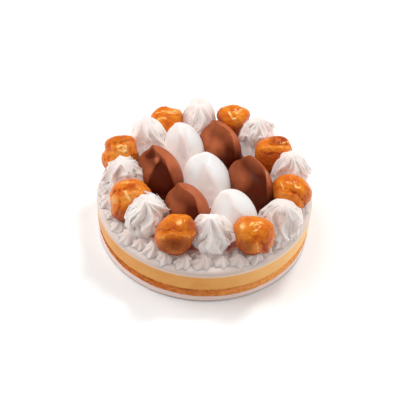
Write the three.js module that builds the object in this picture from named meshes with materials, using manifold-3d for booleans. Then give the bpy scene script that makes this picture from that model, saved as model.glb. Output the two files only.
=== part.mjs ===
// Round layered cream cake with a crown of glazed choux puffs and piped cream peaks,
// and seven piped dollops of chocolate and vanilla cream in the middle.
// Millimetres, +Z up. The origin is the middle of the underside. The front is -Y.

import * as THREE from 'three';
import Module from 'manifold-3d';

const wasm = await Module();
wasm.setup();

// The cake body: four full discs of one radius.
const CAKE_RADIUS = 110;
const LAYER_GAP = 0.3;
const BASE_TOP = 7;
const SPONGE_TOP = 17.4;
const SPONGE_INSET = 0.5;
const SPONGE_CRUMB = 0.9;
const CUSTARD_TOP = 36.9;
const CREAM_TOP = 42;
const CREAM_CHAMFER = 1.2;
const DISC_STEPS = 72;

// Small piped stars along the rim of the cream.
const STAR_COUNT = 40;
const STAR_RING = 101.2;
const STAR_RADIUS = 7.2;
const STAR_HEIGHT = 9;
const STAR_RIBS = 5;

// Everything on the top stands on the cream with a hair of room, and so do neighbours.
const SEAT = CREAM_TOP + 0.3;
const ROOM = 0.35;
const ROOM_BELOW = 0.1;

// Choux puffs: distance from the axis, bearing, half width, top height, lump seed.
const PUFFS = [
  { ring: 84.5, bearing: -107.5, half: 19.4, top: 79.3, seed: 1 },
  { ring: 90.3, bearing: -58.8, half: 19.2, top: 79.2, seed: 2 },
  { ring: 87.5, bearing: -10.1, half: 19.2, top: 79.1, seed: 3 },
  { ring: 79.8, bearing: 27.7, half: 18.6, top: 81.2, seed: 4 },
  { ring: 91.2, bearing: 72.3, half: 17.4, top: 82.4, seed: 5 },
  { ring: 91.2, bearing: 119, half: 16.9, top: 81, seed: 6 },
  { ring: 91, bearing: 161.2, half: 17.8, top: 80.6, seed: 7 },
  { ring: 80.9, bearing: -153.1, half: 20.2, top: 78.4, seed: 8 },
];
const PUFF_COLUMNS = 16;
const PUFF_ROWS = 10;
const PUFF_CAP_STEP = 0.055;

// Piped cream peaks: distance from the axis, bearing, half width, tip height, lean of the tip.
const PEAKS = [
  { ring: 75.5, bearing: -83, half: 18.8, tip: 81, leanX: -2, leanY: 0, turn: 10 },
  { ring: 88.5, bearing: -34.9, half: 19.2, tip: 84, leanX: 0, leanY: 1, turn: 25 },
  { ring: 88.5, bearing: 10.6, half: 19.6, tip: 83, leanX: 0, leanY: 0, turn: 5 },
  { ring: 84.5, bearing: 51.5, half: 18.8, tip: 85, leanX: 2, leanY: 0, turn: 32 },
  { ring: 90.2, bearing: 96.3, half: 17, tip: 86, leanX: 0, leanY: 1, turn: 12 },
  { ring: 87.1, bearing: 136.5, half: 18.2, tip: 86, leanX: -2, leanY: 0, turn: 40 },
  { ring: 84, bearing: 179.4, half: 20.6, tip: 82, leanX: 0, leanY: 2, turn: 18 },
  { ring: 79.6, bearing: -135, half: 19.8, tip: 82, leanX: 2, leanY: 0, turn: 0 },
];
const PEAK_RIBS = 8;
const PEAK_TWIST = 38;
// Rows of a peak from the foot up: share of the half width, share of the height.
const PEAK_PROFILE = [
  [0.76, 0], [0.96, 0.1], [1.04, 0.25], [1, 0.4], [0.9, 0.55], [0.72, 0.71], [0.48, 0.85], [0.2, 0.96],
];

// Dollops: middle of the footprint, length, width, top height, and where the crest starts and ends
// round the cross section, in degrees from the right side.
const DOLLOP_BEARING = -58;
const DOLLOPS = [
  { name: 'chocolate_dollop_1', x: -45.3, y: 3.7, length: 59, width: 42, top: 84, from: 100, to: 52 },
  { name: 'chocolate_dollop_2', x: 14.4, y: 50.2, length: 54, width: 40, top: 84, from: 62, to: 38 },
  { name: 'chocolate_dollop_3', x: 45.8, y: -6, length: 58, width: 40, top: 83.5, from: 72, to: 36 },
  { name: 'chocolate_dollop_4', x: -15.8, y: -44.3, length: 52, width: 41, top: 82.5, from: 102, to: 76 },
  { name: 'vanilla_dollop_1', x: -22.9, y: 47.5, length: 50, width: 38, top: 84, from: 92, to: 70 },
  { name: 'vanilla_dollop_2', x: 1.6, y: 1.4, length: 56, width: 41, top: 83.5, from: 96, to: 66 },
  { name: 'vanilla_dollop_3', x: 30.4, y: -48, length: 50, width: 41, top: 82.5, from: 96, to: 76 },
];
const DOLLOP_COLUMNS = 18;
const DOLLOP_ROWS = 11;
const DOLLOP_CREST = 0.13;

const RAD = Math.PI / 180;

// A smooth wander between about -1 and 1, different for each seed.
function wander(a, b, seed) {
  const first = Math.sin(a * 1.0 + seed * 1.9);
  const second = Math.sin(b * 1.7 + seed * 0.7 + a * 0.6);
  const third = Math.sin(a * 2.3 - b * 1.1 + seed * 3.1);
  return 0.45 * first + 0.35 * second + 0.2 * third;
}

function smooth(from, to, value) {
  const t = Math.min(1, Math.max(0, (value - from) / (to - from)));
  return t * t * (3 - 2 * t);
}

// A closed skin of rings between two end points. place(row, column) gives a point as [x, y, z].
// Seen from the last end point the columns run counter-clockwise.
function closedSkin(rows, columns, first, last, place) {
  const points = [...first];
  for (let row = 0; row < rows; row += 1) {
    for (let column = 0; column < columns; column += 1) {
      points.push(...place(row, column));
    }
  }
  points.push(...last);
  const end = 1 + rows * columns;
  const triangles = [];
  for (let column = 0; column < columns; column += 1) {
    const next = (column + 1) % columns;
    triangles.push(0, 1 + next, 1 + column);
    for (let row = 0; row < rows - 1; row += 1) {
      const low = 1 + row * columns;
      const high = low + columns;
      triangles.push(low + column, low + next, high + next);
      triangles.push(low + column, high + next, high + column);
    }
    const top = 1 + (rows - 1) * columns;
    triangles.push(end, top + column, top + next);
  }
  return new wasm.Manifold(new wasm.Mesh({
    numProp: 3,
    vertProperties: new Float32Array(points),
    triVerts: new Uint32Array(triangles),
  }));
}

// One full disc of the body. Each row is [radius, height]; rough moves the rim in and out.
function disc(rows, rough, seed) {
  const place = (row, column) => {
    const angle = (2 * Math.PI * column) / DISC_STEPS;
    const edge = rows[row][0];
    const inner = row === 0 || row === rows.length - 1 ? 0 : rough;
    const dent = inner * (0.5 - 0.5 * wander(angle * 9, row * 2.1, seed));
    const radius = edge - dent;
    return [radius * Math.cos(angle), radius * Math.sin(angle), rows[row][1]];
  };
  const bottom = rows[0][1];
  const top = rows[rows.length - 1][1];
  return closedSkin(rows.length, DISC_STEPS, [0, 0, bottom], [0, 0, top], place);
}

// A little star pressed out on the rim: a ribbed skirt that closes to a point.
function star(angle, seed) {
  const ring = STAR_RING + 0.8 * Math.sin(seed * 2.3);
  const x = ring * Math.cos(angle);
  const y = ring * Math.sin(angle);
  const size = STAR_RADIUS * (1 + 0.07 * Math.sin(seed * 5.1));
  const height = STAR_HEIGHT * (1 + 0.12 * Math.sin(seed * 3.7));
  const profile = [[0.9, -1], [1, 0.3]];
  const columns = 2 * STAR_RIBS;
  const place = (row, column) => {
    const [wide, up] = profile[row];
    const rib = column % 2 === 0 ? 1 : 0.7;
    const turn = (2 * Math.PI * column) / columns + seed * 1.3 + row * 0.16;
    const radius = size * wide * rib;
    const z = row === 0 ? CREAM_TOP - 1 : CREAM_TOP + height * up;
    return [x + radius * Math.cos(turn), y + radius * Math.sin(turn), z];
  };
  const lean = 0.8;
  const tip = [x + lean * Math.sin(seed * 7), y + lean * Math.cos(seed * 7), CREAM_TOP + height];
  return closedSkin(profile.length, columns, [x, y, CREAM_TOP - 1], tip, place);
}

// A choux puff: an uneven ball with a flat seat and a thicker cap of glaze with a wavy hem.
function puff(spec, extra) {
  const floor = extra > 0 ? SEAT - ROOM_BELOW : SEAT;
  const x = spec.ring * Math.cos(spec.bearing * RAD);
  const y = spec.ring * Math.sin(spec.bearing * RAD);
  const high = (spec.top - SEAT) / 2;
  const middle = SEAT + high;
  const place = (row, column) => {
    const polar = Math.PI * (1 - (row + 1) / (PUFF_ROWS + 1));
    const angle = (2 * Math.PI * column) / PUFF_COLUMNS;
    const hem = 1.72 + 0.16 * Math.sin(3 * angle + spec.seed) + 0.1 * Math.sin(5 * angle + 2 * spec.seed);
    const cap = PUFF_CAP_STEP * (1 - smooth(hem - 0.12, hem + 0.12, polar));
    const lump = 0.035 * wander(2 * angle, 3 * polar, spec.seed);
    const size = 1 - PUFF_CAP_STEP + cap + lump;
    const round = spec.half * size * Math.sin(polar) + extra;
    const lift = Math.cos(polar) * (high * (1 + 0.4 * lump) + extra);
    const z = Math.max(middle + lift, floor);
    return [x + round * Math.cos(angle), y + round * Math.sin(angle), z];
  };
  const low = [x, y, floor];
  const peak = [x, y, spec.top + extra];
  return closedSkin(PUFF_ROWS, PUFF_COLUMNS, low, peak, place);
}

// A piped peak: a ribbed skirt that flares at the foot, twists a little and draws in to a tip.
function peak(spec, extra) {
  const floor = extra > 0 ? SEAT - ROOM_BELOW : SEAT;
  const x = spec.ring * Math.cos(spec.bearing * RAD);
  const y = spec.ring * Math.sin(spec.bearing * RAD);
  const tall = spec.tip - SEAT;
  const columns = 2 * PEAK_RIBS;
  const place = (row, column) => {
    const [wide, t] = PEAK_PROFILE[row];
    const flare = 1 + 0.1 * Math.sin(column * 1.9 + spec.turn) * (1 - t);
    const groove = 0.7 + 0.1 * t;
    const rib = column % 2 === 0 ? flare : groove;
    const turn = (spec.turn + PEAK_TWIST * t) * RAD + (Math.PI * column) / PEAK_RIBS;
    const radius = spec.half * wide * rib * 0.96 + extra;
    const lift = column % 2 === 0 && row === 2 ? 1.2 * Math.sin(column + spec.turn) : 0;
    const px = x + spec.leanX * t * t + radius * Math.cos(turn);
    const py = y + spec.leanY * t * t + radius * Math.sin(turn);
    const pz = row === 0 ? floor : SEAT + tall * t + lift;
    return [px, py, pz];
  };
  const tip = [x + spec.leanX, y + spec.leanY, spec.tip + extra];
  return closedSkin(PEAK_PROFILE.length, columns, [x, y, floor], tip, place);
}

// How far the skin of a dollop stands out beside the crest: a sharp ridge with a hollow on its left.
function crest(offset) {
  if (offset <= 0) {
    return Math.exp(offset / 0.55);
  }
  return 1.5 * Math.exp(-offset / 0.16) - 0.5 * Math.exp(-offset / 0.62);
}

// A piped dollop: an egg lying along its row, high at the back and drawn down at the front,
// with a crest that winds from the back over the right side.
function dollop(spec, extra) {
  const floor = extra > 0 ? SEAT - ROOM_BELOW : SEAT;
  const along = [Math.cos(DOLLOP_BEARING * RAD), Math.sin(DOLLOP_BEARING * RAD)];
  const across = [-along[1], along[0]];
  const tall = spec.top - SEAT;
  const steps = [0, 0.13, 0.32, 0.65, 1.05, 1.5, 2, 2.5, 3, 3.5, 3.95, 4.35, 4.7];
  while (steps.length < DOLLOP_COLUMNS) {
    const last = steps[steps.length - 1];
    steps.push(last + (2 * Math.PI - last) / (DOLLOP_COLUMNS - steps.length + 1));
  }
  const place = (row, column) => {
    const s = -Math.cos((Math.PI * (row + 1)) / (DOLLOP_ROWS + 1));
    const end = Math.sqrt(1 - s * s);
    const thick = Math.pow(end, 0.92) * (1 - 0.1 * s);
    const ridge = (spec.from + (spec.to - spec.from) * (0.5 + 0.5 * s)) * RAD;
    const angle = ridge + steps[column];
    const offset = steps[column] > Math.PI ? steps[column] - 2 * Math.PI : steps[column];
    const grow = 1 + DOLLOP_CREST * crest(offset) * Math.pow(end, 0.6);
    const side = 0.5 * spec.width * thick * Math.cos(angle) * grow;
    const raise = Math.sin(angle) * grow * tall * 0.47 * thick;
    const level = SEAT + tall * (0.48 - 0.07 * s);
    const reach = 0.5 * spec.length * s;
    const wide = side + extra * Math.cos(angle);
    const z = Math.max(level + raise + extra * Math.sin(angle), floor);
    return [
      spec.x + along[0] * reach + across[0] * wide,
      spec.y + along[1] * reach + across[1] * wide,
      z,
    ];
  };
  const half = 0.5 * spec.length + extra;
  const back = [spec.x - along[0] * half, spec.y - along[1] * half, SEAT + tall * 0.55];
  const front = [spec.x + along[0] * half, spec.y + along[1] * half, SEAT + tall * 0.41];
  return closedSkin(DOLLOP_ROWS, DOLLOP_COLUMNS, back, front, place);
}

// Takes away from a solid the room that a neighbour needs.
function makeRoom(solid, neighbours) {
  let rest = solid;
  for (const neighbour of neighbours) {
    rest = rest.subtract(neighbour);
  }
  return rest;
}

function toMesh(name, solid, colour, roughness) {
  const mesh = solid.getMesh();
  const geometry = new THREE.BufferGeometry();
  const points = [];
  for (let i = 0; i < mesh.vertProperties.length; i += mesh.numProp) {
    points.push(mesh.vertProperties[i], mesh.vertProperties[i + 1], mesh.vertProperties[i + 2]);
  }
  geometry.setAttribute('position', new THREE.Float32BufferAttribute(points, 3));
  geometry.setIndex(Array.from(mesh.triVerts));
  geometry.computeVertexNormals();
  const material = new THREE.MeshStandardMaterial({ color: colour, roughness, metalness: 0 });
  material.name = name.replace(/_\d+$/, '');
  const node = new THREE.Mesh(geometry, material);
  node.name = name;
  return node;
}

const cake = new THREE.Group();
cake.name = 'saint_honore_cake';

// The layers, from the bottom up.
const baseRows = [[CAKE_RADIUS, 0], [CAKE_RADIUS, BASE_TOP]];
cake.add(toMesh('base', disc(baseRows, 0, 1), 0xe6d6ce, 0.6));

const spongeLow = BASE_TOP + LAYER_GAP;
const spongeMiddle = (spongeLow + SPONGE_TOP) / 2;
const spongeEdge = CAKE_RADIUS - SPONGE_INSET;
const spongeRows = [[spongeEdge, spongeLow], [CAKE_RADIUS, spongeMiddle], [spongeEdge, SPONGE_TOP]];
cake.add(toMesh('sponge', disc(spongeRows, SPONGE_CRUMB, 2), 0xbb6a2c, 0.9));

const custardLow = SPONGE_TOP + LAYER_GAP;
const custardRows = [[CAKE_RADIUS, custardLow], [CAKE_RADIUS, CUSTARD_TOP]];
cake.add(toMesh('custard', disc(custardRows, 0, 3), 0xe3b267, 0.55));

const creamLow = CUSTARD_TOP + LAYER_GAP;
const creamRows = [
  [CAKE_RADIUS, creamLow],
  [CAKE_RADIUS, CREAM_TOP - CREAM_CHAMFER],
  [CAKE_RADIUS - CREAM_CHAMFER, CREAM_TOP],
];
let cream = disc(creamRows, 0, 4);
for (let i = 0; i < STAR_COUNT; i += 1) {
  const angle = (2 * Math.PI * (i + 0.18 * Math.sin(i * 2.7))) / STAR_COUNT + 0.02;
  cream = cream.add(star(angle, i + 1));
}

// The crown and the dollops. Firm puffs keep their shape; soft cream gives way to what it touches.
const puffSolids = PUFFS.map((spec) => puff(spec, 0));
const puffRooms = PUFFS.map((spec) => puff(spec, ROOM));
const dollopRooms = DOLLOPS.map((spec) => dollop(spec, ROOM));
const laps = [[3], [2], [], [], [5, 0, 1], [6, 0, 1, 2, 3], [2, 3]];
const dollopSolids = DOLLOPS.map((spec, index) => {
  const over = laps[index].map((other) => dollopRooms[other]);
  return makeRoom(dollop(spec, 0), [...puffRooms, ...over]);
});
const peakRooms = PEAKS.map((spec) => peak(spec, ROOM));
const peakSolids = PEAKS.map((spec) => makeRoom(peak(spec, 0), [...puffRooms, ...dollopRooms]));
cream = makeRoom(cream, [...puffRooms, ...peakRooms]);

cake.add(toMesh('cream_top', cream, 0xf1e8e2, 0.6));
puffSolids.forEach((solid, i) => cake.add(toMesh(`puff_${i + 1}`, solid, 0xdb7a22, 0.3)));
peakSolids.forEach((solid, i) => cake.add(toMesh(`peak_${i + 1}`, solid, 0xf4eee9, 0.55)));
dollopSolids.forEach((solid, i) => {
  const dark = DOLLOPS[i].name.startsWith('chocolate');
  cake.add(toMesh(DOLLOPS[i].name, solid, dark ? 0x84432c : 0xf5f0eb, dark ? 0.5 : 0.55));
});

export default cake;
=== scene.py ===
"""A round layered cream cake with glazed choux puffs, piped peaks and dollops, dressed over its frame."""
import math
from contextlib import contextmanager

import bpy
from bpy.props import FloatProperty, FloatVectorProperty, IntProperty, PointerProperty
from bpy.types import Operator, Panel, PropertyGroup
from mathutils import Matrix, Vector, noise


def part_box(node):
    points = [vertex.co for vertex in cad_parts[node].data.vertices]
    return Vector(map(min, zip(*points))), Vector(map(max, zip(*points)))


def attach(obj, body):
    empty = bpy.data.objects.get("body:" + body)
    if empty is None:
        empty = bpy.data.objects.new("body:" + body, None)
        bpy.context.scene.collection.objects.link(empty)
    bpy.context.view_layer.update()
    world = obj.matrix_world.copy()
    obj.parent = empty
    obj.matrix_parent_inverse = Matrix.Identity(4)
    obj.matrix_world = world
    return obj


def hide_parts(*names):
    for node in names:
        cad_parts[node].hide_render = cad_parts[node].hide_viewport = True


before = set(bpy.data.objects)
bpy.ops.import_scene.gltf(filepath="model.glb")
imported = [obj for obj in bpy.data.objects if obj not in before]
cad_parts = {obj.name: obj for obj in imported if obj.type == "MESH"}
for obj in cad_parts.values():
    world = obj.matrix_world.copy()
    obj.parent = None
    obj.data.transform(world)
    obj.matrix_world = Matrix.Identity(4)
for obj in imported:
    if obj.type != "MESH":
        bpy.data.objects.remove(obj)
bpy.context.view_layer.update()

bl_info = {
    "name": "Saint Honore Cake",
    "version": (1, 0, 0),
    "blender": (4, 5, 0),
    "location": "View3D > Sidebar > Cake",
    "description": "Builds a layered cream cake with choux puffs, piped peaks and dollops",
    "category": "Add Mesh",
}

MM = 0.001
BODY = "root"

# The body of the cake, read from the frame, and how far its layers reach into each other.
CAKE_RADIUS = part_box("base")[1].x
CREAM_DEPTH = 4.8 * MM
CREAM_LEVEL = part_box("cream_top")[0].z + CREAM_DEPTH
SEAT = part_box("puff_1")[0].z
LAYER_LAP = 0.2 * MM

# Choux puffs, drawn as the camera sees them. Places are shares of the radius to the right and up.
# hem, wave: edge of the glaze and how far it wanders, in degrees from the top.
# outline: the radius every 15 degrees, anticlockwise from the left.
# lines: height, width, tone and the points of a broken line.
# marks: right, up, half width, half height, height, tone and share of bare pastry.
# A tone above 0 is burnt glaze and painted shade in folds and at the lower edge, below 0 golden glaze and
# painted highlights on ridges, and below -1 a painted glint.
PUFFS = {
    "puff_1": {
        "hem": 106, "wave": 5, "seed": 11,
        "outline": [0.99, 1, 1.02, 1.04, 1.03, 1.02, 1.02, 1.02, 0.98, 0.94, 0.9, 0.89, 0.98, 1.07, 1.08,
                1.13, 1.13, 1.05, 1.02, 1.02, 0.99, 0.96, 0.98, 0.99],
        "lines": [
            (0.035, 0.04, -0.45, [(-0.94, -0.25), (-0.75, -0.15), (-0.6, -0.08), (-0.46, 0.02),
                (-0.27, 0.05), (-0.12, 0.07), (0.02, -0.05), (0.17, -0.02), (0.36, -0.07), (0.6, -0.14),
                (0.79, -0.02), (0.93, 0.1)]),
            (-0.03, 0.04, 0.3, [(-0.94, 0.18), (-0.7, 0.26), (-0.46, 0.19), (-0.13, 0.29), (0.21, 0.19),
                (0.55, 0.24)]),
            (-0.02, 0.03, 0.2, [(-0.79, -0.39), (-0.55, -0.29), (-0.26, -0.34)])],
        "marks": [
            (0.02, -0.48, 0.86, 0.34, -0.01, 0.3, 0.9),
            (0.02, -0.41, 0.55, 0.2, -0.01, 0.3, 0.2),
            (0.71, 0.44, 0.18, 0.34, 0, 0.55, 0),
            (0.16, 0.55, 0.12, 0.12, 0.01, -1.7, 0),
            (-0.08, 0.38, 0.9, 0.3, 0, 0.4, 0)]},
    "puff_2": {
        "hem": 108, "wave": 6, "seed": 23,
        "outline": [0.89, 0.84, 0.9, 0.95, 0.99, 1.02, 1.02, 0.99, 0.96, 1.15, 1.06, 1.04, 1.04, 1.06, 1.1,
                1.09, 1.04, 0.98, 0.95, 0.99, 1.04, 1.1, 1.1, 1.09],
        "lines": [
            (0.045, 0.035, -1.0, [(0.2, -0.26), (0.28, -0.48), (0.33, -0.72)]),
            (-0.04, 0.05, 0.6, [(0.43, -0.26), (0.55, -0.47), (0.72, -0.67)]),
            (0.016, 0.03, -1.7, [(-0.2, 0.46), (-0.11, 0.59), (0.05, 0.67), (0.22, 0.68), (0.38, 0.6)]),
            (0.016, 0.03, -1.6, [(-0.02, 0.47), (0.11, 0.56), (0.19, 0.54)]),
            (0.016, 0.03, -1.7, [(0.34, 0.49), (0.21, 0.36), (0.05, 0.21)]),
            (-0.03, 0.04, 0.3, [(-0.83, -0.11), (-0.47, -0.17), (-0.15, 0.02), (0.16, -0.09)])],
        "marks": [
            (-0.33, -0.55, 0.4, 0.34, 0, 0.4, 0.6),
            (0.62, -0.46, 0.14, 0.2, -0.01, 0.7, 0.4),
            (0.72, 0.17, 0.2, 0.35, 0, 0.35, 0),
            (-0.53, 0.37, 0.11, 0.12, 0.01, -1.8, 0),
            (0.46, -0.11, 0.5, 0.25, 0, 0.25, 0)]},
    "puff_3": {
        "hem": 112, "wave": 8, "seed": 37,
        "outline": [1.06, 1.05, 1.03, 1.02, 1.01, 0.99, 0.98, 0.97, 1.07, 1.08, 1.03, 1.06, 1.07, 1.05,
                0.97, 0.92, 0.9, 0.9, 0.92, 0.95, 0.98, 1.01, 1.06, 1.08],
        "lines": [
            (0.05, 0.08, -0.15, [(-0.37, -0.16), (-0.05, -0.19), (0.28, -0.3), (0.47, -0.53),
                (0.58, -0.89)]),
            (-0.07, 0.05, 0.7, [(-0.03, 0.03), (0.33, -0.1), (0.66, -0.34), (0.8, -0.59)]),
            (0.016, 0.04, -1.7, [(-0.59, 0.37), (-0.46, 0.1)]),
            (0.016, 0.035, -1.9, [(-0.34, 0.46), (-0.09, 0.42)]),
            (0.02, 0.035, -1.9, [(0.11, 0.45), (0.22, 0.25), (0.4, 0.28)]),
            (-0.03, 0.04, 0.3, [(-0.86, -0.05), (-0.63, 0.12), (-0.25, 0.1)])],
        "marks": [
            (0.81, 0, 0.2, 0.35, 0, 0.35, 0),
            (-0.58, -0.21, 0.3, 0.2, 0, -0.15, 0)]},
    "puff_4": {
        "hem": 112, "wave": 8, "seed": 41,
        "outline": [1.09, 1.06, 1.02, 1.02, 1.05, 1.06, 1.04, 1.03, 1.01, 0.99, 0.97, 0.96, 0.94, 1.02,
                1.06, 1.07, 1.14, 1.13, 1.08, 1.04, 1.05, 1.08, 1.14, 1.12],
        "lines": [
            (0.03, 0.09, -0.3, [(-0.87, 0.17), (-0.55, 0.3), (-0.18, 0.42), (0.2, 0.47), (0.64, 0.5)]),
            (-0.04, 0.035, 0.4, [(-0.37, 0.57), (-0.03, 0.53), (0.35, 0.6), (0.67, 0.69)]),
            (-0.05, 0.05, 0.4, [(-0.69, 0.08), (-0.34, -0.04), (0.08, 0.12), (0.43, 0)]),
            (0.02, 0.035, -2.6, [(0.37, 0.68), (0.48, 0.7)]),
            (0.02, 0.035, -2.6, [(0.58, 0.76), (0.67, 0.72)])],
        "marks": [
            (0.21, 0.83, 0.58, 0.28, -0.02, 0.95, 0.1),
            (0.07, 0.84, 0.14, 0.09, 0, -0.9, 0),
            (-0.1, -0.23, 0.75, 0.45, 0, 0.75, 0.1)]},
    "puff_5": {
        "hem": 112, "wave": 6, "seed": 59,
        "outline": [0.91, 0.78, 0.65, 0.66, 0.71, 0.76, 0.81, 0.85, 0.81, 0.67, 0.65, 0.73, 0.83, 1.01,
                1.21, 1.22, 1.16, 1.14, 1.15, 1.14, 1.14, 1.2, 1.21, 1.12],
        "lines": [
            (0.025, 0.05, -2.1, [(-0.27, 0.59), (-0.16, 0.34), (0.01, 0.2), (0.2, 0.27)]),
            (0.02, 0.04, -1.6, [(0.14, 0.55), (0.41, 0.76)]),
            (-0.06, 0.07, 0.35, [(-1.03, 0.15), (-0.63, -0.13), (-0.24, -0.26), (0.2, -0.26), (0.69, 0.02)]),
            (-0.02, 0.05, 0.25, [(-0.94, 0.66), (-0.39, 0.86), (0.12, 0.9), (0.7, 0.78)])],
        "marks": [
            (0.16, -0.52, 0.5, 0.28, 0, 0.7, 0.3),
            (-0.85, 0.29, 0.2, 0.3, 0, 0.3, 0)]},
    "puff_6": {
        "hem": 112, "wave": 8, "seed": 61,
        "outline": [1.15, 1.15, 1.14, 1.14, 1.13, 1.13, 1.13, 1.12, 1.12, 1.12, 1.11, 1.11, 1.11, 1.13,
                1.22, 1.29, 1.17, 1.12, 1.16, 1.18, 1.17, 1.17, 1.16, 1.15],
        "lines": [
            (0.018, 0.03, -1.3, [(-0.55, 0.66), (-0.23, 0.76), (0.16, 0.73), (0.62, 0.73)]),
            (0.022, 0.04, -2.0, [(-0.49, 0.3), (-0.29, 0.4), (-0.03, 0.34)]),
            (-0.02, 0.04, 0.3, [(-0.62, 0.47), (-0.23, 0.56), (0.29, 0.53), (0.75, 0.47)])],
        "marks": [
            (-0.88, 0.73, 0.2, 0.25, 0, 0.4, 0),
            (0.88, 0.53, 0.16, 0.4, 0, 0.3, 0)]},
    "puff_7": {
        "hem": 112, "wave": 8, "seed": 73,
        "outline": [1.21, 1.29, 1.33, 1.3, 1.25, 1.2, 1.15, 1.1, 1.05, 1.01, 0.96, 0.91, 0.92, 0.86, 0.94,
                1.08, 1.13, 1.09, 1.07, 1.1, 1.14, 1.2, 1.21, 1.06],
        "lines": [
            (-0.08, 0.06, 0.3, [(-1.19, 0.35), (-0.83, 0.42), (-0.54, 0.52), (-0.19, 0.62), (0.22, 0.69),
                (0.8, 0.69)]),
            (0.018, 0.04, -1.8, [(-0.26, 0.33), (-0.08, 0.41), (0.14, 0.37), (0.25, 0.19), (0.01, 0.09),
                (-0.21, 0.16)]),
            (-0.06, 0.05, 0.35, [(-1.08, 0.17), (-0.89, -0.1), (-0.87, -0.68)]),
            (-0.03, 0.04, 0.25, [(-0.67, 0.35), (-0.73, -0.22)]),
            (-0.03, 0.04, 0.25, [(-0.38, 0.28), (-0.47, -0.35)]),
            (-0.025, 0.04, 0.2, [(0.49, 0.41), (0.45, -0.28)])],
        "marks": [
            (-0.18, 0.79, 0.8, 0.22, 0, 0.35, 0),
            (-0.83, 0.42, 0.2, 0.2, 0, 0.3, 0),
            (0.08, 0.2, 0.1, 0.08, 0, -1.6, 0),
            (-0.16, 0.04, 0.7, 0.5, 0, -0.2, 0)]},
    "puff_8": {
        "hem": 110, "wave": 8, "seed": 89,
        "outline": [0.97, 0.99, 1.1, 1.21, 1.2, 1.18, 1.17, 1.17, 1.16, 1.15, 1.14, 1.13, 1.12, 1.11, 1.07,
                1.05, 1.03, 1.03, 1.02, 1.03, 1.05, 1.05, 1.03, 1],
        "lines": [
            (-0.07, 0.04, 0.7, [(-1.07, -0.01), (-0.89, 0.22), (-0.81, 0.39), (-0.66, 0.48), (-0.47, 0.49)]),
            (-0.05, 0.06, 0.4, [(-0.52, 0.44), (-0.46, 0.1), (-0.51, -0.28), (-0.57, -0.61)]),
            (0.022, 0.045, -2.1, [(-0.23, 0.36), (-0.15, 0.19), (-0.03, 0.01)]),
            (0.014, 0.035, -0.9, [(-0.41, 0.78), (-0.11, 0.83), (0.22, 0.79)]),
            (-0.025, 0.035, 0.4, [(-0.27, 0.53), (0.01, 0.44), (0.35, 0.5)])],
        "marks": [
            (-0.76, 0.02, 0.15, 0.22, 0.035, -0.6, 0),
            (0.02, 0.61, 0.32, 0.13, 0, 0.6, 0),
            (-0.29, -0.68, 0.5, 0.3, 0, 0.45, 0.3),
            (0.14, 0.17, 0.6, 0.4, 0, -0.22, 0)]},
}
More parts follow.
